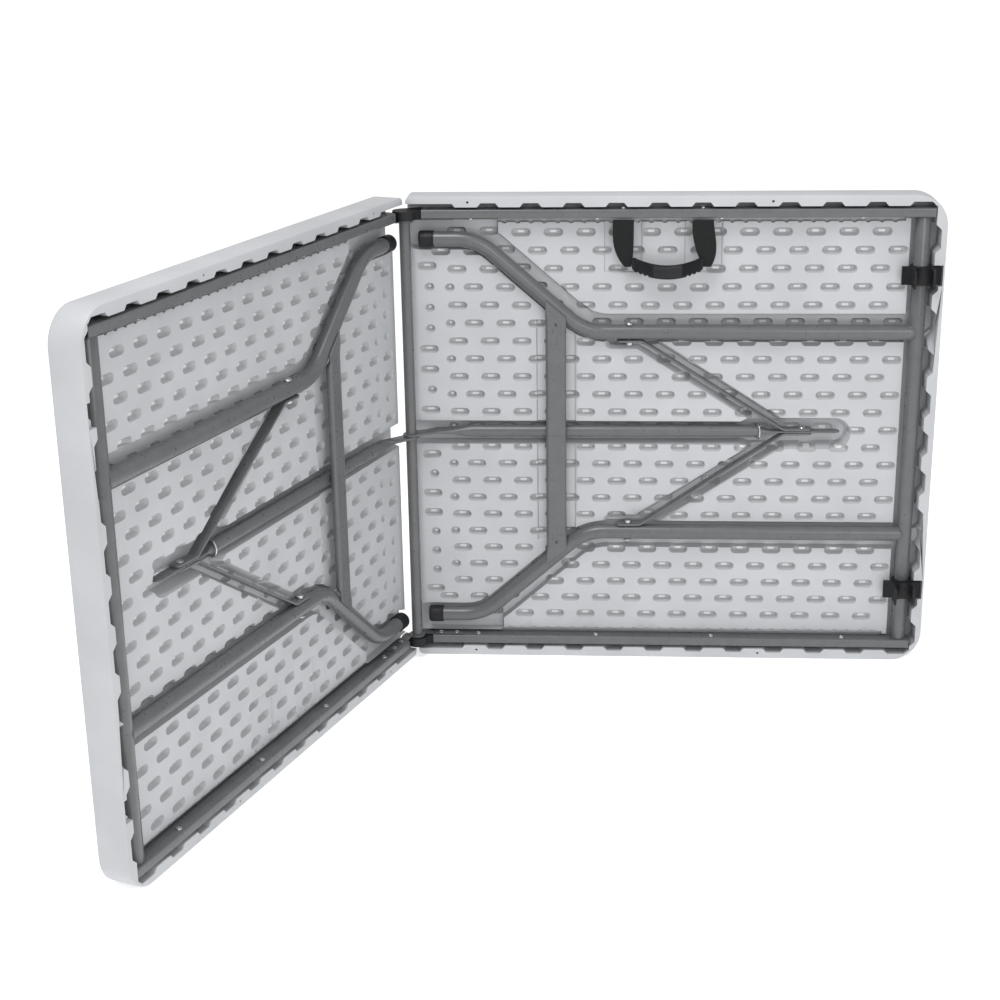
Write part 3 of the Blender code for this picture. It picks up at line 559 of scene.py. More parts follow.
# Blow-moulded HDPE is a milky grey-white, faintly uneven in tone, with a fine leather grain from
# the mould and a soft satin gloss.
tone = blend_colours(tree, spread(tree, noise(tree, place, 0.09, 3.0), 0.35, 0.65), "#B3B5B8", "#BABCBF")
# Painted shade and painted light: a slot's wall and the inside of each vent are darkened to stand for the
# shade deep in these narrow hollows. The small core where the skins are welded together is lightened to
# stand for light shining through the thin plastic there.
for layer, colour in (("wall", "#AFB1B3"), ("painted_core_glow", "#E6E8E9")):
    share = add_node(tree, "ShaderNodeAttribute", attribute_name=layer).outputs["Fac"]
    tone = add_node(tree, "ShaderNodeMix", {"Factor": share, 6: tone, 7: linear(colour)},
                    data_type="RGBA").outputs[2]
tree.links.new(tone, shader.inputs["Base Color"])
tree.links.new(spread(tree, noise(tree, place, 0.03), 0.3, 0.7, 0.42, 0.56), shader.inputs["Roughness"])
grain = noise(tree, place, 0.0022, 3.0, 0.6)
tree.links.new(bump(tree, grain, 0.00012, 0.6), shader.inputs["Normal"])

underside = mesh_of(bm, "half_top")
for half, matrix in HALVES.items():
    finished(f"{half}_moulded_top", underside.copy(), matrix, polyethylene, f"{half}_half",
             f"{half}_half_top")

# Shapes shared by the frame's pieces. Each is added to a bmesh drawn in a half's own frame.


def loft(bm, rings, looped=False):
    """Joins rings of points into a closed surface, capped at both ends unless it is looped."""
    loops = [[bm.verts.new(point) for point in ring] for ring in rings]
    made = []
    if not looped:
        made += [bm.faces.new(loops[0][::-1]), bm.faces.new(loops[-1])]
    for first, second in zip(loops, loops[1:] + loops[:1] if looped else loops[1:]):
        for i in range(len(first)):
            j = (i + 1) % len(first)
            made.append(bm.faces.new((first[i], first[j], second[j], second[i])))
    bmesh.ops.recalc_face_normals(bm, faces=made)


def turn(bm, profile, axis, centre, looped=False, sides=32):
    """Turns (radius, place along the axis) points about an axis through centre."""
    rings = []
    for radius, along in profile:
        circle = arc(centre, radius, 0, 360 - 360 / sides, sides - 1)
        if axis == "u":
            rings.append([(along, a, b) for a, b in circle])
        elif axis == "v":
            rings.append([(a, along, b) for a, b in circle])
        else:
            rings.append([(a, b, along) for a, b in circle])
    loft(bm, rings, looped)


def softened(nodes, width, segments=2):
    """The joined meshes of some frame nodes with every sharp edge rounded off."""
    bm = bmesh.new()
    for node in nodes:
        bm.from_mesh(frame["nodes"][node].data)
    bmesh.ops.remove_doubles(bm, verts=bm.verts, dist=2e-6)
    bmesh.ops.dissolve_limit(bm, angle_limit=math.radians(2), verts=bm.verts, edges=bm.edges)
    sharp = [edge for edge in bm.edges if len(edge.link_faces) == 2 and edge.calc_face_angle() > 0.55]
    bmesh.ops.bevel(bm, geom=sharp, offset=width, segments=segments, affect="EDGES", clamp_overlap=True)
    bmesh.ops.recalc_face_normals(bm, faces=bm.faces)
    return mesh_of(bm, nodes[0])


def slab(bm, outline, low, high, round_off, axis="w"):
    """Extrudes an outline with both of its rims rounded off. It is (u, v) points, or (u, w) for axis v."""
    middle = sum((Vector(point) for point in outline), Vector((0, 0))) / len(outline)
    edge = ((1, 0), (0.3, 0.3), (0, 1))
    levels = [(inset * round_off, low + rise * round_off) for inset, rise in edge]
    levels += [(inset * round_off, high - rise * round_off) for inset, rise in edge[::-1]]
    rings = []
    for inset, level in levels:
        ring = []
        for point in outline:
            away = Vector(point) - middle
            a, b = middle + away * (1 - inset / max(away.length, 1e-6))
            ring.append((a, b, level) if axis == "w" else (a, level, b))
        rings.append(ring)
    loft(bm, rings)


def group_tree(name, inputs):
    """A Geometry Nodes tree with named inputs, and its input and output nodes."""
    made = bpy.data.node_groups.new(name, "GeometryNodeTree")
    made.interface.new_socket("Geometry", in_out="INPUT", socket_type="NodeSocketGeometry")
    for label, kind in inputs:
        made.interface.new_socket(label, in_out="INPUT", socket_type=f"NodeSocket{kind}")
    made.interface.new_socket("Geometry", in_out="OUTPUT", socket_type="NodeSocketGeometry")
    return made, made.nodes.new("NodeGroupInput").outputs, made.nodes.new("NodeGroupOutput")


def grown(base, group, values):
    """The mesh that a Geometry Nodes tree grows from a base mesh."""
    holder = bpy.data.objects.new("grown", base)
    bpy.context.scene.collection.objects.link(holder)
    modifier = holder.modifiers.new("grow", "NODES")
    modifier.node_group = group
    for item in group.interface.items_tree:
        if item.in_out == "INPUT" and item.name in values:
            modifier[item.identifier] = values[item.name]
    bpy.context.view_layer.update()
    seen = holder.evaluated_get(bpy.context.evaluated_depsgraph_get())
    mesh = bpy.data.meshes.new_from_object(seen)
    holder.modifiers.remove(modifier)
    bpy.data.objects.remove(holder)
    return mesh


tube_group, given, out = group_tree(
    "tube_along_path", [("Radius", "Float"), ("Sides", "Int"), ("Capped", "Bool"), ("Finish", "Material")]
)
curve = add_node(tube_group, "GeometryNodeMeshToCurve", {"Mesh": given["Geometry"]}).outputs["Curve"]
circle = add_node(tube_group, "GeometryNodeCurvePrimitiveCircle",
                  {"Resolution": given["Sides"], "Radius": given["Radius"]}).outputs["Curve"]
swept = add_node(tube_group, "GeometryNodeCurveToMesh",
                 {"Curve": curve, "Profile Curve": circle, "Fill Caps": given["Capped"]}).outputs["Mesh"]
swept = add_node(tube_group, "GeometryNodeSetShadeSmooth", {0: swept}).outputs[0]
swept = add_node(tube_group, "GeometryNodeRealizeInstances", {0: swept}).outputs[0]
add_node(tube_group, "GeometryNodeSetMaterial", {"Geometry": swept, "Material": given["Finish"]})
tube_group.links.new(tube_group.nodes[-1].outputs[0], out.inputs[0])

head_group, given, out = group_tree("heads_on_points", [("Head", "Object"), ("Finish", "Material")])
head = add_node(head_group, "GeometryNodeObjectInfo", {"Object": given["Head"]}).outputs["Geometry"]
facing = add_node(head_group, "GeometryNodeInputNamedAttribute", {"Name": "facing"},
                  data_type="FLOAT_VECTOR").outputs[0]
turned_to = add_node(head_group, "FunctionNodeAlignRotationToVector", {"Vector": facing}, axis="Z")
placed = add_node(head_group, "GeometryNodeInstanceOnPoints",
                  {"Points": given["Geometry"], "Instance": head, "Rotation": turned_to.outputs[0]})
placed = add_node(head_group, "GeometryNodeRealizeInstances", {0: placed.outputs[0]}).outputs[0]
add_node(head_group, "GeometryNodeSetMaterial", {"Geometry": placed, "Material": given["Finish"]})
head_group.links.new(head_group.nodes[-1].outputs[0], out.inputs[0])


def tube(path, radius, finish, closed=False, sides=32):
    """A tube along a path of (u, v, w) points."""
    base = bpy.data.meshes.new("path")
    count = len(path)
    links = [(i, (i + 1) % count) for i in range(count if closed else count - 1)]
    base.from_pydata([tuple(point) for point in path], links, [])
    values = {"Radius": radius, "Sides": sides, "Capped": not closed, "Finish": finish}
    mesh = grown(base, tube_group, values)
    mesh.set_sharp_from_angle(angle=math.radians(50))
    return mesh


def heads(places, template, finish):
    """Copies of a fastener head at (point, direction it faces) places."""
    base = bpy.data.meshes.new("places")
    base.from_pydata([tuple(point) for point, _ in places], [], [])
    facing = base.attributes.new("facing", "FLOAT_VECTOR", "POINT")
    for entry, (_, way) in zip(facing.data, places):
        entry.vector = way
    return grown(base, head_group, {"Head": template, "Finish": finish})


def joined(name, *meshes):
    """Several meshes drawn in one frame, as one mesh."""
    bm = bmesh.new()
    for mesh in meshes:
        bm.from_mesh(mesh)
    made = bpy.data.meshes.new(name)
    bm.to_mesh(made)
    bm.free()
    return made


# Side rails: rectangular steel tubes along both long edges of each half, rolled with rounded
# corners and powder coated grey. Pan-head screws through their inner faces hold them in the tops.

powder_coat, tree, shader, place = new_material("grey_powder_coat", "#5B5C5D", 0.30, ior=1.5)
# Polyester powder coat over steel: mid grey, semi-gloss, with a fine orange-peel surface.
tone = blend_colours(tree, spread(tree, noise(tree, place, 0.020, 4.0), 0.3, 0.7), "#5B5C5D", "#616263")
tree.links.new(tone, shader.inputs["Base Color"])
tree.links.new(spread(tree, noise(tree, place, 0.008), 0.3, 0.7, 0.27, 0.32), shader.inputs["Roughness"])
tree.links.new(bump(tree, noise(tree, place, 0.0020, 1.0), 0.00005, 0.3), shader.inputs["Normal"])

zinc, tree, shader, place = new_material("zinc_plate", "#C4C6C8", 0.30, metallic=1.0)
# Bright zinc plating on steel fasteners: a cool silver, slightly cloudy, with fine tumbling marks.
tone = blend_colours(tree, spread(tree, noise(tree, place, 0.004, 3.0), 0.3, 0.7), "#B4B6B8", "#D0D2D4")
tree.links.new(tone, shader.inputs["Base Color"])
tree.links.new(spread(tree, noise(tree, place, 0.002), 0.3, 0.7, 0.22, 0.40), shader.inputs["Roughness"])
tree.links.new(bump(tree, noise(tree, place, 0.0005, 3.0), 0.00003, 0.4), shader.inputs["Normal"])

RAIL_CORNER = 0.0024
RAIL_WALL = 0.0012
SCREW_PLACES = (0.093, 0.273, 0.448, 0.645)
rail_middle = (rail_low.z + rail_high.z) / 2


def rounded_section(v0, v1, w0, w1, radius, steps=4):
    """(v, w) points round a rectangle with rounded corners."""
    points = []
    for centre, start in (((v1 - radius, w1 - radius), 0), ((v0 + radius, w1 - radius), 90),
                          ((v0 + radius, w0 + radius), 180), ((v1 - radius, w0 + radius), 270)):
        points += arc(centre, radius, start, start + 90, steps)
    return points


def screw_head(radius, height):
    """A pan head with a cross recess, its seat at the origin and its axis along z."""
    bm = bmesh.new()
    turn(bm, [(0.8 * radius, -0.0003), (radius, 0), (radius, 0.45 * height), (0.88 * radius, 0.78 * height),
              (0.62 * radius, 0.95 * height), (0.50 * radius, height), (0.36 * radius, height),
              (0.22 * radius, height), (0.10 * radius, height)], "w", (0, 0), sides=40)
    for vert in bm.verts:
        across = min(abs(vert.co.x), abs(vert.co.y))
        if vert.co.z > 0.9 * height and across < 0.13 * radius and vert.co.xy.length < 0.56 * radius:
            vert.co.z -= 0.5 * height
    made = bpy.data.objects.new("screw_head", mesh_of(bm, "screw_head"))
    bpy.context.scene.collection.objects.link(made)
    return made


pan_head = screw_head(0.0040, 0.0022)
for half, matrix in HALVES.items():
    bm = bmesh.new()
    places = []
    for side in (-1, 1):
        rings = []
        for inset, ends in ((0, (rail_low.x, rail_high.x)), (RAIL_WALL, (rail_high.x, rail_low.x))):
            low, high = sorted((side * (rail_low.y + inset), side * (rail_high.y - inset)))
            bottom, top = rail_low.z + inset, rail_high.z - inset
            section = rounded_section(low, high, bottom, top, RAIL_CORNER - inset)
            rings += [[(u, a, b) for a, b in section] for u in ends]
        loft(bm, rings, looped=True)
        for at in SCREW_PLACES:
            spot = Vector((at, side * (rail_low.y - 0.0001), rail_middle + 0.004))
            places.append((spot, Vector((0, -side, 0))))
    finished(f"{half}_rolled_rails", mesh_of(bm, "rails"), matrix, powder_coat, f"{half}_half",
             f"{half}_upper_rail", f"{half}_lower_rail")
    finished(f"{half}_rail_screws", heads(places, pan_head, zinc), matrix, zinc, f"{half}_half")


# Hinge: pressed steel plates riveted to the rails' inner faces carry the cross tube, whose ends
# turn in the black moulded knuckles of the right rails. The left rails are closed by plugs.

nylon, tree, shader, place = new_material("black_nylon", "#141517", 0.52, ior=1.4)
# Injection-moulded glass-filled nylon: near black, satin, with a fine spark-eroded texture.
tone = blend_colours(tree, spread(tree, noise(tree, place, 0.012, 3.0), 0.3, 0.7), "#111214", "#1A1B1D")
tree.links.new(tone, shader.inputs["Base Color"])
tree.links.new(spread(tree, noise(tree, place, 0.004), 0.3, 0.7, 0.44, 0.60), shader.inputs["Roughness"])
tree.links.new(bump(tree, noise(tree, place, 0.0009, 2.0), 0.00006, 0.6), shader.inputs["Normal"])

identity = Matrix.Identity(4)
dome_head = screw_head(0.0042, 0.0014)
for half, matrix in HALVES.items():
    nodes = [f"{half}_{tag}_hinge_plate" for tag, _ in tags(half)]
    finished(f"{half}_pressed_hinge_plates", softened(nodes, 0.0005), identity, powder_coat, f"{half}_half",
             *nodes)
    plate_face = rail_low.y - 0.0020
    places = []
    for side in (-1, 1):
        for at in (0.036, 0.060):
            places.append((Vector((at, side * plate_face, rail_middle + 0.004)), Vector((0, -side, 0))))
    finished(f"{half}_hinge_rivets", heads(places, dome_head, zinc), matrix, zinc, f"{half}_half")

knuckles = ["upper_hinge_knuckle", "lower_hinge_knuckle"]
finished("moulded_knuckles", softened(knuckles, 0.0012, 3), identity, nylon, "right_half", *knuckles)
plugs = ["left_upper_rail_plug", "left_lower_rail_plug"]
finished("moulded_rail_plugs", softened(plugs, 0.0006), identity, nylon, "left_half", *plugs)

cross_low, cross_high = in_half("hinge_cross_tube")
cross_radius = (cross_high.x - cross_low.x) / 2
bm = bmesh.new()
end, bore = cross_high.y, cross_radius - RAIL_WALL
turn(bm, [(bore, -end), (cross_radius - 0.0004, -end), (cross_radius, 0.0005 - end),
          (cross_radius, end - 0.0005), (cross_radius - 0.0004, end), (bore, end)], "v",
     (0, AXIS_DEPTH), looped=True)
finished("drawn_cross_tube", mesh_of(bm, "cross_tube"), HALVES["right"], powder_coat, "right_half",
         "hinge_cross_tube")


# Leg frames: round steel tube, bent, with the two legs and a flat-oval crossbar welded to a pivot
# tube that turns in the rails. Powder coated after welding. Feet have black slip-on caps.

LEG_SIDES = 40
BEAD_RADIUS = 0.0013
spigot_radius = TUBE_RADIUS - 0.004
slope = (LEG_SPREAD_FOOT - LEG_SPREAD_TOP) / BEND_RUN
bar_middle = (bar_low.x + bar_high.x) / 2
bar_half = (bar_high.x - bar_low.x) / 2
bar_front, bar_back = bar_high.z, bar_low.z
weld_at = LEG_SPREAD_FOOT - slope * (bar_middle - cap_low.x - FOOT_RUN)


def leg_line(side):
    flat_path = rounded(leg_corners(side, cap_low.x + 0.004), BEND_RADIUS, 20)
    flat_path[-1] = Vector((PIVOT_AT - 0.002, flat_path[-1].y))
    return [Vector((point.x, point.y, LEG_DEPTH)) for point in flat_path]


def saddle_bead(side):
    """The weld where a leg meets the pivot tube, a little uneven like a hand-laid bead."""
    found = []
    for i in range(64):
        angle = math.tau * i / 64
        c, s = math.cos(angle), math.sin(angle)
        reach = TUBE_RADIUS + 0.0002 * math.sin(23 * angle)
        u = PIVOT_AT - math.hypot(TUBE_RADIUS * c, 0.0035)
        found.append(Vector((u, side * LEG_SPREAD_TOP + reach * c, LEG_DEPTH + reach * s)))
    return found


def ramp(value, start, end):
    """0 at start, 1 at end and straight between them."""
    return min(1.0, max(0.0, (value - start) / (end - start)))


def crossbar(bm):
    """The bar's middle is an oval tube, and its pressed ends reach over the legs' sloping runs."""
    ends = [0, 0.0006, 0.002, 0.004] + [0.006 + 0.002 * i for i in range(24)]
    dimples = [(du, 0.034, 0.0011, 0.0034) for du in (-0.0058, 0.0058)] + [(0, 0.0235, 0.0035, 0.0019)]
    for side in (-1, 1):
        rings = []
        for away in ends + [weld_at - 0.0001]:
            shear = ramp(away, 0.060, 0)
            press = ramp(away, 0.013, 0.025)
            press = press * press * (3 - 2 * press)
            edge = min(1.0, 0.55 + away / 0.0013) if away < 0.0006 else 1.0
            back = bar_back + (1 - press) * (LEG_DEPTH + TUBE_RADIUS + 0.0004 - bar_back)
            round_off = (bar_front - back) / 2
            section = []
            for i in range(25):
                across = (i / 12 - 1) * (bar_half - 0.0002)
                fall = max(0.0, abs(across) - (bar_half - round_off))
                section.append((across, math.sqrt(max(0.0, round_off**2 - fall**2))))
            ring = []
            for sign in (1, -1):
                for across, rise in section if sign > 0 else section[::-1][1:-1]:
                    v = weld_at - away - shear * slope * across
                    level = (bar_front + back) / 2 + sign * rise * edge
                    if sign > 0:
                        for du, dv, depth, radius in dimples:
                            off = math.hypot(across - du, away - dv) / radius
                            level -= depth * max(0.0, 1 - off * off)
                        groove = ramp(away, 0.036, 0.042) * ramp(away, 0.052, 0.046)
                        level -= 0.0009 * groove * ramp(abs(across), 0.0022, 0)
                    ring.append((bar_middle + across, side * max(v, 0), level))
            rings.append(ring)
        loft(bm, rings)


for half, matrix in HALVES.items():
    bm = bmesh.new()
    shoulder, end = pivot_high.y - 0.0125, pivot_high.y
    outside = [(spigot_radius - 0.0005, end), (spigot_radius, end - 0.0005),
               (spigot_radius, shoulder + 0.0003), (TUBE_RADIUS - 0.0006, shoulder),
               (TUBE_RADIUS, shoulder - 0.0008)]
    turn(bm, [(r, -v) for r, v in outside] + [(r, v) for r, v in outside[::-1]], "v", (PIVOT_AT, LEG_DEPTH),
         sides=LEG_SIDES)
    crossbar(bm)
    steelwork = [mesh_of(bm, "leg_frame", 40)]
    for side in (-1, 1):
        steelwork.append(tube(leg_line(side), TUBE_RADIUS, powder_coat, sides=LEG_SIDES))
        steelwork.append(tube(saddle_bead(side), BEAD_RADIUS, powder_coat, closed=True, sides=10))
    steel_nodes = [f"{half}_leg_pivot_tube", f"{half}_leg_crossbar"]
    steel_nodes += [f"{half}_{tag}_leg" for tag in ("upper", "lower")]
    frame_mesh = joined("leg_frame", *steelwork)
    frame_mesh.set_sharp_from_angle(angle=math.radians(45))
    finished(f"{half}_welded_leg_frame", frame_mesh, matrix, powder_coat, f"{half}_leg_frame",
             *steel_nodes)

    bm = bmesh.new()
    cap_radius = (cap_high.y - cap_low.y) / 2
    wall = TUBE_RADIUS + 0.0001
    for side in (-1, 1):
        profile = [(0.35 * cap_radius, cap_low.x), (cap_radius - 0.0034, cap_low.x)]
        profile += [(cap_radius - 0.0034 + 0.0034 * math.sin(a), cap_low.x + 0.0034 * (1 - math.cos(a)))
                    for a in (0.3, 0.6, 0.9, 1.2, math.pi / 2)]
        profile += [(cap_radius, cap_high.x - 0.0035), (cap_radius - 0.0004, cap_high.x - 0.0030),
                    (cap_radius, cap_high.x - 0.0025), (cap_radius, cap_high.x - 0.0005),
                    (cap_radius - 0.0005, cap_high.x), (wall, cap_high.x), (wall, cap_low.x + 0.003)]
        turn(bm, profile, "u", (side * LEG_SPREAD_FOOT, LEG_DEPTH), sides=LEG_SIDES)
    finished(f"{half}_moulded_foot_caps", mesh_of(bm, "foot_caps"), matrix, nylon, f"{half}_leg_frame",
             f"{half}_upper_foot_cap", f"{half}_lower_foot_cap")

    bm = bmesh.new()
    bolt_low, bolt_high = in_half("right_upper_brace_bolt")
    bolt_at, bolt_radius = (bolt_low.x + bolt_high.x) / 2, (bolt_high.x - bolt_low.x) / 2
    for side in (-1, 1):
        seat = side * (bolt_high.y - 0.0035)
        turn(bm, [(bolt_radius / 2, side * bolt_low.y), (bolt_radius / 2, seat), (bolt_radius, seat),
                  (bolt_radius, seat + side * 0.0008), (0.92 * bolt_radius, seat + side * 0.0018),
                  (0.72 * bolt_radius, seat + side * 0.0028), (0.40 * bolt_radius, seat + side * 0.0034),
                  (0.12 * bolt_radius, seat + side * 0.0035)], "v", (bolt_at, LEG_DEPTH))
    finished(f"{half}_brace_bolts", mesh_of(bm, "brace_bolts"), matrix, zinc, f"{half}_leg_frame",
             f"{half}_upper_brace_bolt", f"{half}_lower_brace_bolt")


# Centre link, brace and lock collar: the link is a tube pressed flat at both ends, one on the cross
# tube and one on the rivet where the two flat brace straps meet. The zinc lock ring slides along it.

LINK_LENGTH = math.hypot(LINK_END.x, AXIS_DEPTH - LINK_END.z)
link_tilt = math.atan2(AXIS_DEPTH - LINK_END.z, LINK_END.x)
to_link = Matrix.Translation((0, 0, AXIS_DEPTH)) @ Matrix.Rotation(link_tilt, 4, "Y")
LINK_SIDE = 0.0018
LINK_START = 0.034
LINK_JOGGLE = 0.0184
LINK_TIP = 0.054
EYE_RADIUS = 0.012
STRAP_HALF = 0.0015
STRAP_WIDTH = 0.016
BRACE_LENGTH = LINK_LENGTH - bolt_at / math.cos(link_tilt)
COLLAR_AWAY = 0.065
COLLAR_WIRE = 0.0013
COLLAR_RING = 0.0111
COLLAR_LEAN = 0.0026


def link_section(x):
    """Half height, half width and squareness of the link at a distance from the hinge axis."""
    places = (LINK_START, 0.060, 0.088, LINK_LENGTH - 0.069, LINK_LENGTH - 0.058, LINK_LENGTH - 0.047,
              LINK_LENGTH + LINK_TIP - 0.008, LINK_LENGTH + LINK_TIP - 0.003, LINK_LENGTH + LINK_TIP)
    heights = (0.0126, 0.0114, 0.0090, 0.0090, 0.0083, 0.0080, 0.0080, 0.0068, 0.0030)
    widths = (0.0015, 0.0042, 0.0090, 0.0090, 0.0048, 0.0015, 0.0015, 0.0015, 0.0013)
    squareness = (6, 3, 2, 2, 3, 6, 6, 6, 6)
    return [float(np.interp(x, places, values)) for values in (heights, widths, squareness)]


def link_mesh():
    rings = []
    end, tip = LINK_LENGTH, LINK_LENGTH + LINK_TIP
    lines = []
    for first, last, count in (
        (LINK_START, 0.095, 16), (0.12, end - 0.075, 10), (end - 0.070, end - 0.045, 12),
        (end - 0.030, tip - 0.010, 6), (tip - 0.008, tip, 7),
    ):
        lines += list(np.linspace(first, last, count))
    rise = LINK_JOGGLE / (LINK_LENGTH - LINK_START)
    for x in lines:
        height, width, square = link_section(x)
        ring = []
        for i in range(32):
            angle = math.tau * (i + 0.5) / 32
            c, s = math.cos(angle), math.sin(angle)
            a = math.copysign(abs(c) ** (2 / square), c) * width
            b = math.copysign(abs(s) ** (2 / square), s) * height
            ring.append((x, LINK_SIDE + a, rise * (x - LINK_LENGTH) + b))
        rings.append(ring)
    bm = bmesh.new()
    loft(bm, rings)
    level = rise * (LINK_START - LINK_LENGTH)
    outline = arc((0, 0), EYE_RADIUS, 40, 220, 24)
    outline += [(LINK_START + 0.004, level + height) for height in (-0.0122, 0.0122)]
    slab(bm, outline, LINK_SIDE - STRAP_HALF, LINK_SIDE + STRAP_HALF, 0.0005, "v")
    boss = (LINK_LENGTH + LINK_TIP - 0.016, rise * (LINK_TIP - 0.016))
    turn(bm, [(0.0034, LINK_SIDE - 0.0022), (0.0040, LINK_SIDE - 0.0016), (0.0040, LINK_SIDE + 0.0016),
              (0.0034, LINK_SIDE + 0.0022)], "v", boss, sides=24)
    return mesh_of(bm, "link", 40)


def strap(bm, side):
    """One flat brace strap, its two bends rounded and its ends cut round."""
    near = LINK_SIDE + side * (2 * STRAP_HALF + 0.0003)
    far = side * (LEG_SPREAD_TOP - TUBE_RADIUS - 0.0003 - STRAP_HALF)
    bolt = LINK_LENGTH - BRACE_LENGTH
    corners = [Vector((LINK_LENGTH + 0.014, near)), Vector((LINK_LENGTH - 0.028, near)),
               Vector((bolt + 0.018, far)), Vector((bolt - 0.018, far))]
    path = rounded(corners, 0.014, 6)
    for start, ahead in ((0, 1), (-1, -2)):
        first, second = path[start], path[ahead]
        along = (second - first).normalized()
        extra = [first + along * reach for reach in (0.0005, 0.0015, 0.003, 0.005, 0.0065)]
        path = [path[0]] + extra + path[1:] if start == 0 else path[:-1] + extra[::-1] + [path[-1]]
    total = sum((b - a).length for a, b in zip(path, path[1:]))
    rings, gone = [], 0.0
    for i, point in enumerate(path):
        if i:
            gone += (point - path[i - 1]).length
        along = (path[min(i + 1, len(path) - 1)] - path[max(i - 1, 0)]).normalized()
        out = Vector((-along.y, along.x))
        end_gap = min(gone, total - gone, 0.0065)
        height = STRAP_WIDTH / 2 - 0.0065 + math.sqrt(0.0065**2 - (0.0065 - end_gap) ** 2) + 0.00005
        section = rounded_section(-STRAP_HALF, STRAP_HALF, -height, height, 0.0006, 2)
        rings.append([(point.x + out.x * a, point.y + out.y * a, b) for a, b in section])
    loft(bm, rings)


for half, matrix in HALVES.items():
    link_place = matrix @ to_link
    finished(f"{half}_pressed_link", link_mesh(), link_place, powder_coat, f"{half}_link",
             f"{half}_centre_link")

    bm = bmesh.new()
    strap(bm, -1)
    strap(bm, 1)
    finished(f"{half}_flat_brace", mesh_of(bm, "brace", 40), link_place, powder_coat, f"{half}_brace",
             f"{half}_upper_brace_strap", f"{half}_lower_brace_strap")

    bm = bmesh.new()
    reach = 3 * STRAP_HALF + 0.0006
    crown = [(0.0006, reach + 0.0020), (0.0018, reach + 0.0019), (0.0032, reach + 0.0015),
             (0.0043, reach + 0.0009), (0.0050, reach), (0.0025, reach)]
    turn(bm, [(r, LINK_SIDE - y) for r, y in crown] + [(r, LINK_SIDE + y) for r, y in crown[::-1]], "v",
         (LINK_LENGTH, 0))
    rivet = mesh_of(bm, "rivet")
    rivet.transform(link_place)
    nuts = [f"{half}_upper_brace_nut", f"{half}_lower_brace_nut"]
    fasteners = joined("brace_fasteners", rivet, softened(nuts, 0.0005))
    fasteners.set_sharp_from_angle(angle=math.radians(35))
    finished(f"{half}_brace_fasteners", fasteners, identity, zinc, f"{half}_brace",
             f"{half}_brace_rivet", *nuts)

    rise = math.atan(LINK_JOGGLE / (LINK_LENGTH - LINK_START))
    at = Vector((LINK_LENGTH - COLLAR_AWAY, LINK_SIDE, -math.tan(rise) * COLLAR_AWAY))
    collar_place = link_place @ Matrix.Translation(at) @ Matrix.Rotation(-rise, 4, "Y")
    circle = arc((0, 0), COLLAR_RING, 0, 360 - 360 / 64, 63)
    ring = [(COLLAR_LEAN * b / COLLAR_RING, a, b) for a, b in circle]
    ring_mesh = tube(ring, COLLAR_WIRE, zinc, closed=True, sides=16)
    finished(f"{half}_zinc_collar", ring_mesh, collar_place, zinc, f"{half}_collar", f"{half}_lock_collar")


# Closing clips: moulded nylon saddles that snap round the right pivot tube, their open jaws ready
# for the left one. Two screws hold each clip's wings down on the rim; these screws are not drawn.

clips = ["upper_closing_clip", "lower_closing_clip"]
finished("moulded_clips", softened(clips, 0.0009, 3), identity, nylon, "right_half", *clips)


# Carrying handle: polypropylene webbing wrapped round the upper rail and fixed by two screws, and a
# moulded nylon grip between the ends of its straps, with finger notches and a smooth pad.

webbing, tree, shader, place = new_material("black_webbing", "#101113", 0.85, ior=1.45)
# Woven polypropylene webbing: matt black yarns in a plain weave, about 1.6 mm to a yarn.
across_map = add_node(tree, "ShaderNodeUVMap", uv_map="weave").outputs["UV"]
yarns = []
for way, pitch in (("X", 0.0030), ("Y", 0.0022)):
    inputs = {"Vector": across_map, "Scale": 0.314 / pitch, "Distortion": 0.4}
    yarns.append(add_node(tree, "ShaderNodeTexWave", inputs, bands_direction=way).outputs["Fac"])
weave = add_node(tree, "ShaderNodeMath", {0: yarns[0], 1: yarns[1]}, operation="MULTIPLY").outputs[0]
tree.links.new(blend_colours(tree, weave, "#0A0B0C", "#1B1C1E"), shader.inputs["Base Color"])
fuzz = bump(tree, noise(tree, place, 0.0006, 3.0), 0.00010, 0.5)
tree.links.new(bump(tree, weave, 0.00045, 0.9, fuzz), shader.inputs["Normal"])

grip_low, grip_high = in_half("handle_grip")
STRAP_ROWS = 40
STRAP_COLUMNS = 12


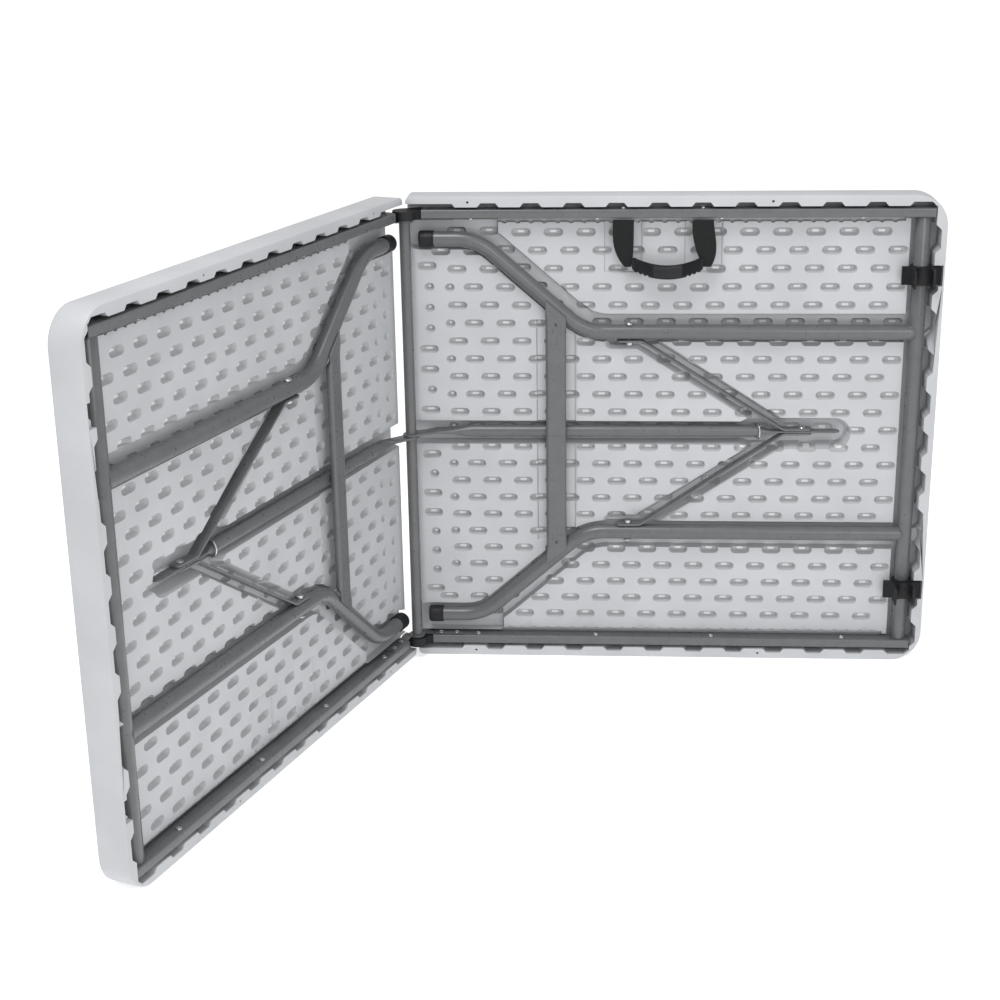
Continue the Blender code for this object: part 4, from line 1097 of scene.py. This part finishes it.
def hanging_strap(bm, low, high, turn_to):
    """A strap whose outer edge bows in to the grip. turn_to is 1 where the outer edge is at high u."""
    weave_map = bm.loops.layers.uv.new("weave") if not bm.loops.layers.uv else bm.loops.layers.uv[0]
    length, width = high.y - low.y, high.x - low.x
    if turn_to < 0:
        outer = np.polyfit((0, 0.35, 0.70, 1), (0, 0.01, 0.16, 0.575), 3)
        inner = np.polyfit((0, 0.40, 0.75, 1), (1, 1.0, 0.97, 0.905), 3)
    else:
        outer = np.polyfit((0, 0.35, 0.70, 1), (0.875, 0.96, 0.995, 0.80), 3)
        inner = np.polyfit((0, 0.40, 0.75, 1), (0, 0.05, 0.25, 0.49), 3)
    middle, half_thick = (low.z + high.z) / 2, (high.z - low.z) / 2
    sheets = []
    for sign in (1, -1):
        rows = []
        for i in range(STRAP_ROWS + 1):
            t = i / STRAP_ROWS
            a, b = (float(np.clip(np.polyval(edge, t), 0, 1)) for edge in (outer, inner))
            row = []
            for j in range(STRAP_COLUMNS + 1):
                share = j / STRAP_COLUMNS
                roll = math.sqrt(max(0.0, 1 - (2 * share - 1) ** 6))
                vert = bm.verts.new((low.x + width * (a + (b - a) * share), high.y - length * t,
                                     middle + sign * half_thick * (0.25 + 0.7 * roll)))
                row.append((vert, 0.030 * share, length * t))
            rows.append(row)
        sheets.append(rows)
    made = []

    def face(corners):
        quad = bm.faces.new([vert for vert, _, _ in corners])
        for loop, (_, x, y) in zip(quad.loops, corners):
            loop[weave_map].uv = (x, y)
        made.append(quad)

    for rows in sheets:
        for first, second in zip(rows, rows[1:]):
            for j in range(STRAP_COLUMNS):
                face((first[j], first[j + 1], second[j + 1], second[j]))
    front, back = sheets
    rim = [(0, j) for j in range(STRAP_COLUMNS)] + [(i, STRAP_COLUMNS) for i in range(STRAP_ROWS)]
    rim += [(STRAP_ROWS, j) for j in range(STRAP_COLUMNS, 0, -1)]
    rim += [(i, 0) for i in range(STRAP_ROWS, 0, -1)]
    for (i, j), (k, l) in zip(rim, rim[1:] + rim[:1]):
        face((front[i][j], front[k][l], back[k][l], back[i][j]))
    bmesh.ops.recalc_face_normals(bm, faces=made)


bm = bmesh.new()
hanging_strap(bm, handle_low, handle_high, -1)
hanging_strap(bm, far_low, far_high, 1)
finished("woven_straps", mesh_of(bm, "straps", 60), HALVES["right"], webbing, "handle_straps",
         "handle_strap_inner", "handle_strap_outer")

GRIP_HEIGHT = 0.021
GRIP_SAG = 0.013
NOTCHES = (0.085, 0.150, 0.215, 0.785, 0.850, 0.915)
bm = bmesh.new()
rings = []
grip_thick = (grip_high.z - grip_low.z) / 2
grip_middle = (grip_high.z + grip_low.z) / 2
for i in range(121):
    share = i / 120
    centre = grip_high.y - GRIP_HEIGHT / 2 - GRIP_SAG * (1 - (2 * share - 1) ** 2)
    notch = sum(max(0.0, 1 - ((share - at) / 0.020) ** 2) for at in NOTCHES)
    pad = ramp(abs(share - 0.5), 0.20, 0.18)
    rib = 0.0 if pad > 0 else 0.0003 * math.cos(math.tau * share * 60)
    taper = min(1.0, 0.72 + 8 * min(share, 1 - share))
    ring = []
    for k in range(36):
        angle = math.tau * (k + 0.5) / 36
        c, s = math.cos(angle), math.sin(angle)
        a = math.copysign(abs(c) ** 0.8, c) * (GRIP_HEIGHT / 2 - 0.0004 + rib) * taper
        b = math.copysign(abs(s) ** 0.8, s) * (grip_thick - 0.0006 + rib + 0.0003 * pad) * taper
        if c < -0.3:
            a += 0.0021 * notch * (-c - 0.3) / 0.7
        ring.append((grip_low.x + (grip_high.x - grip_low.x) * share, centre + a, grip_middle + b))
    rings.append(ring)
loft(bm, rings)
finished("moulded_grip", mesh_of(bm, "grip", 50), HALVES["right"], nylon, "handle_grip", "handle_grip")

places = []
for name in ("handle_screw_inner", "handle_screw_outer"):
    low, high = in_half(name)
    spot = Vector(((low.x + high.x) / 2, high.y - 0.0022, (low.z + high.z) / 2))
    places.append((spot, Vector((0, 1, 0))))
finished("handle_screws", heads(places, pan_head, zinc), HALVES["right"], zinc, "right_half",
         "handle_screw_inner", "handle_screw_outer")

for template in (pan_head, dome_head):
    bpy.data.objects.remove(template)
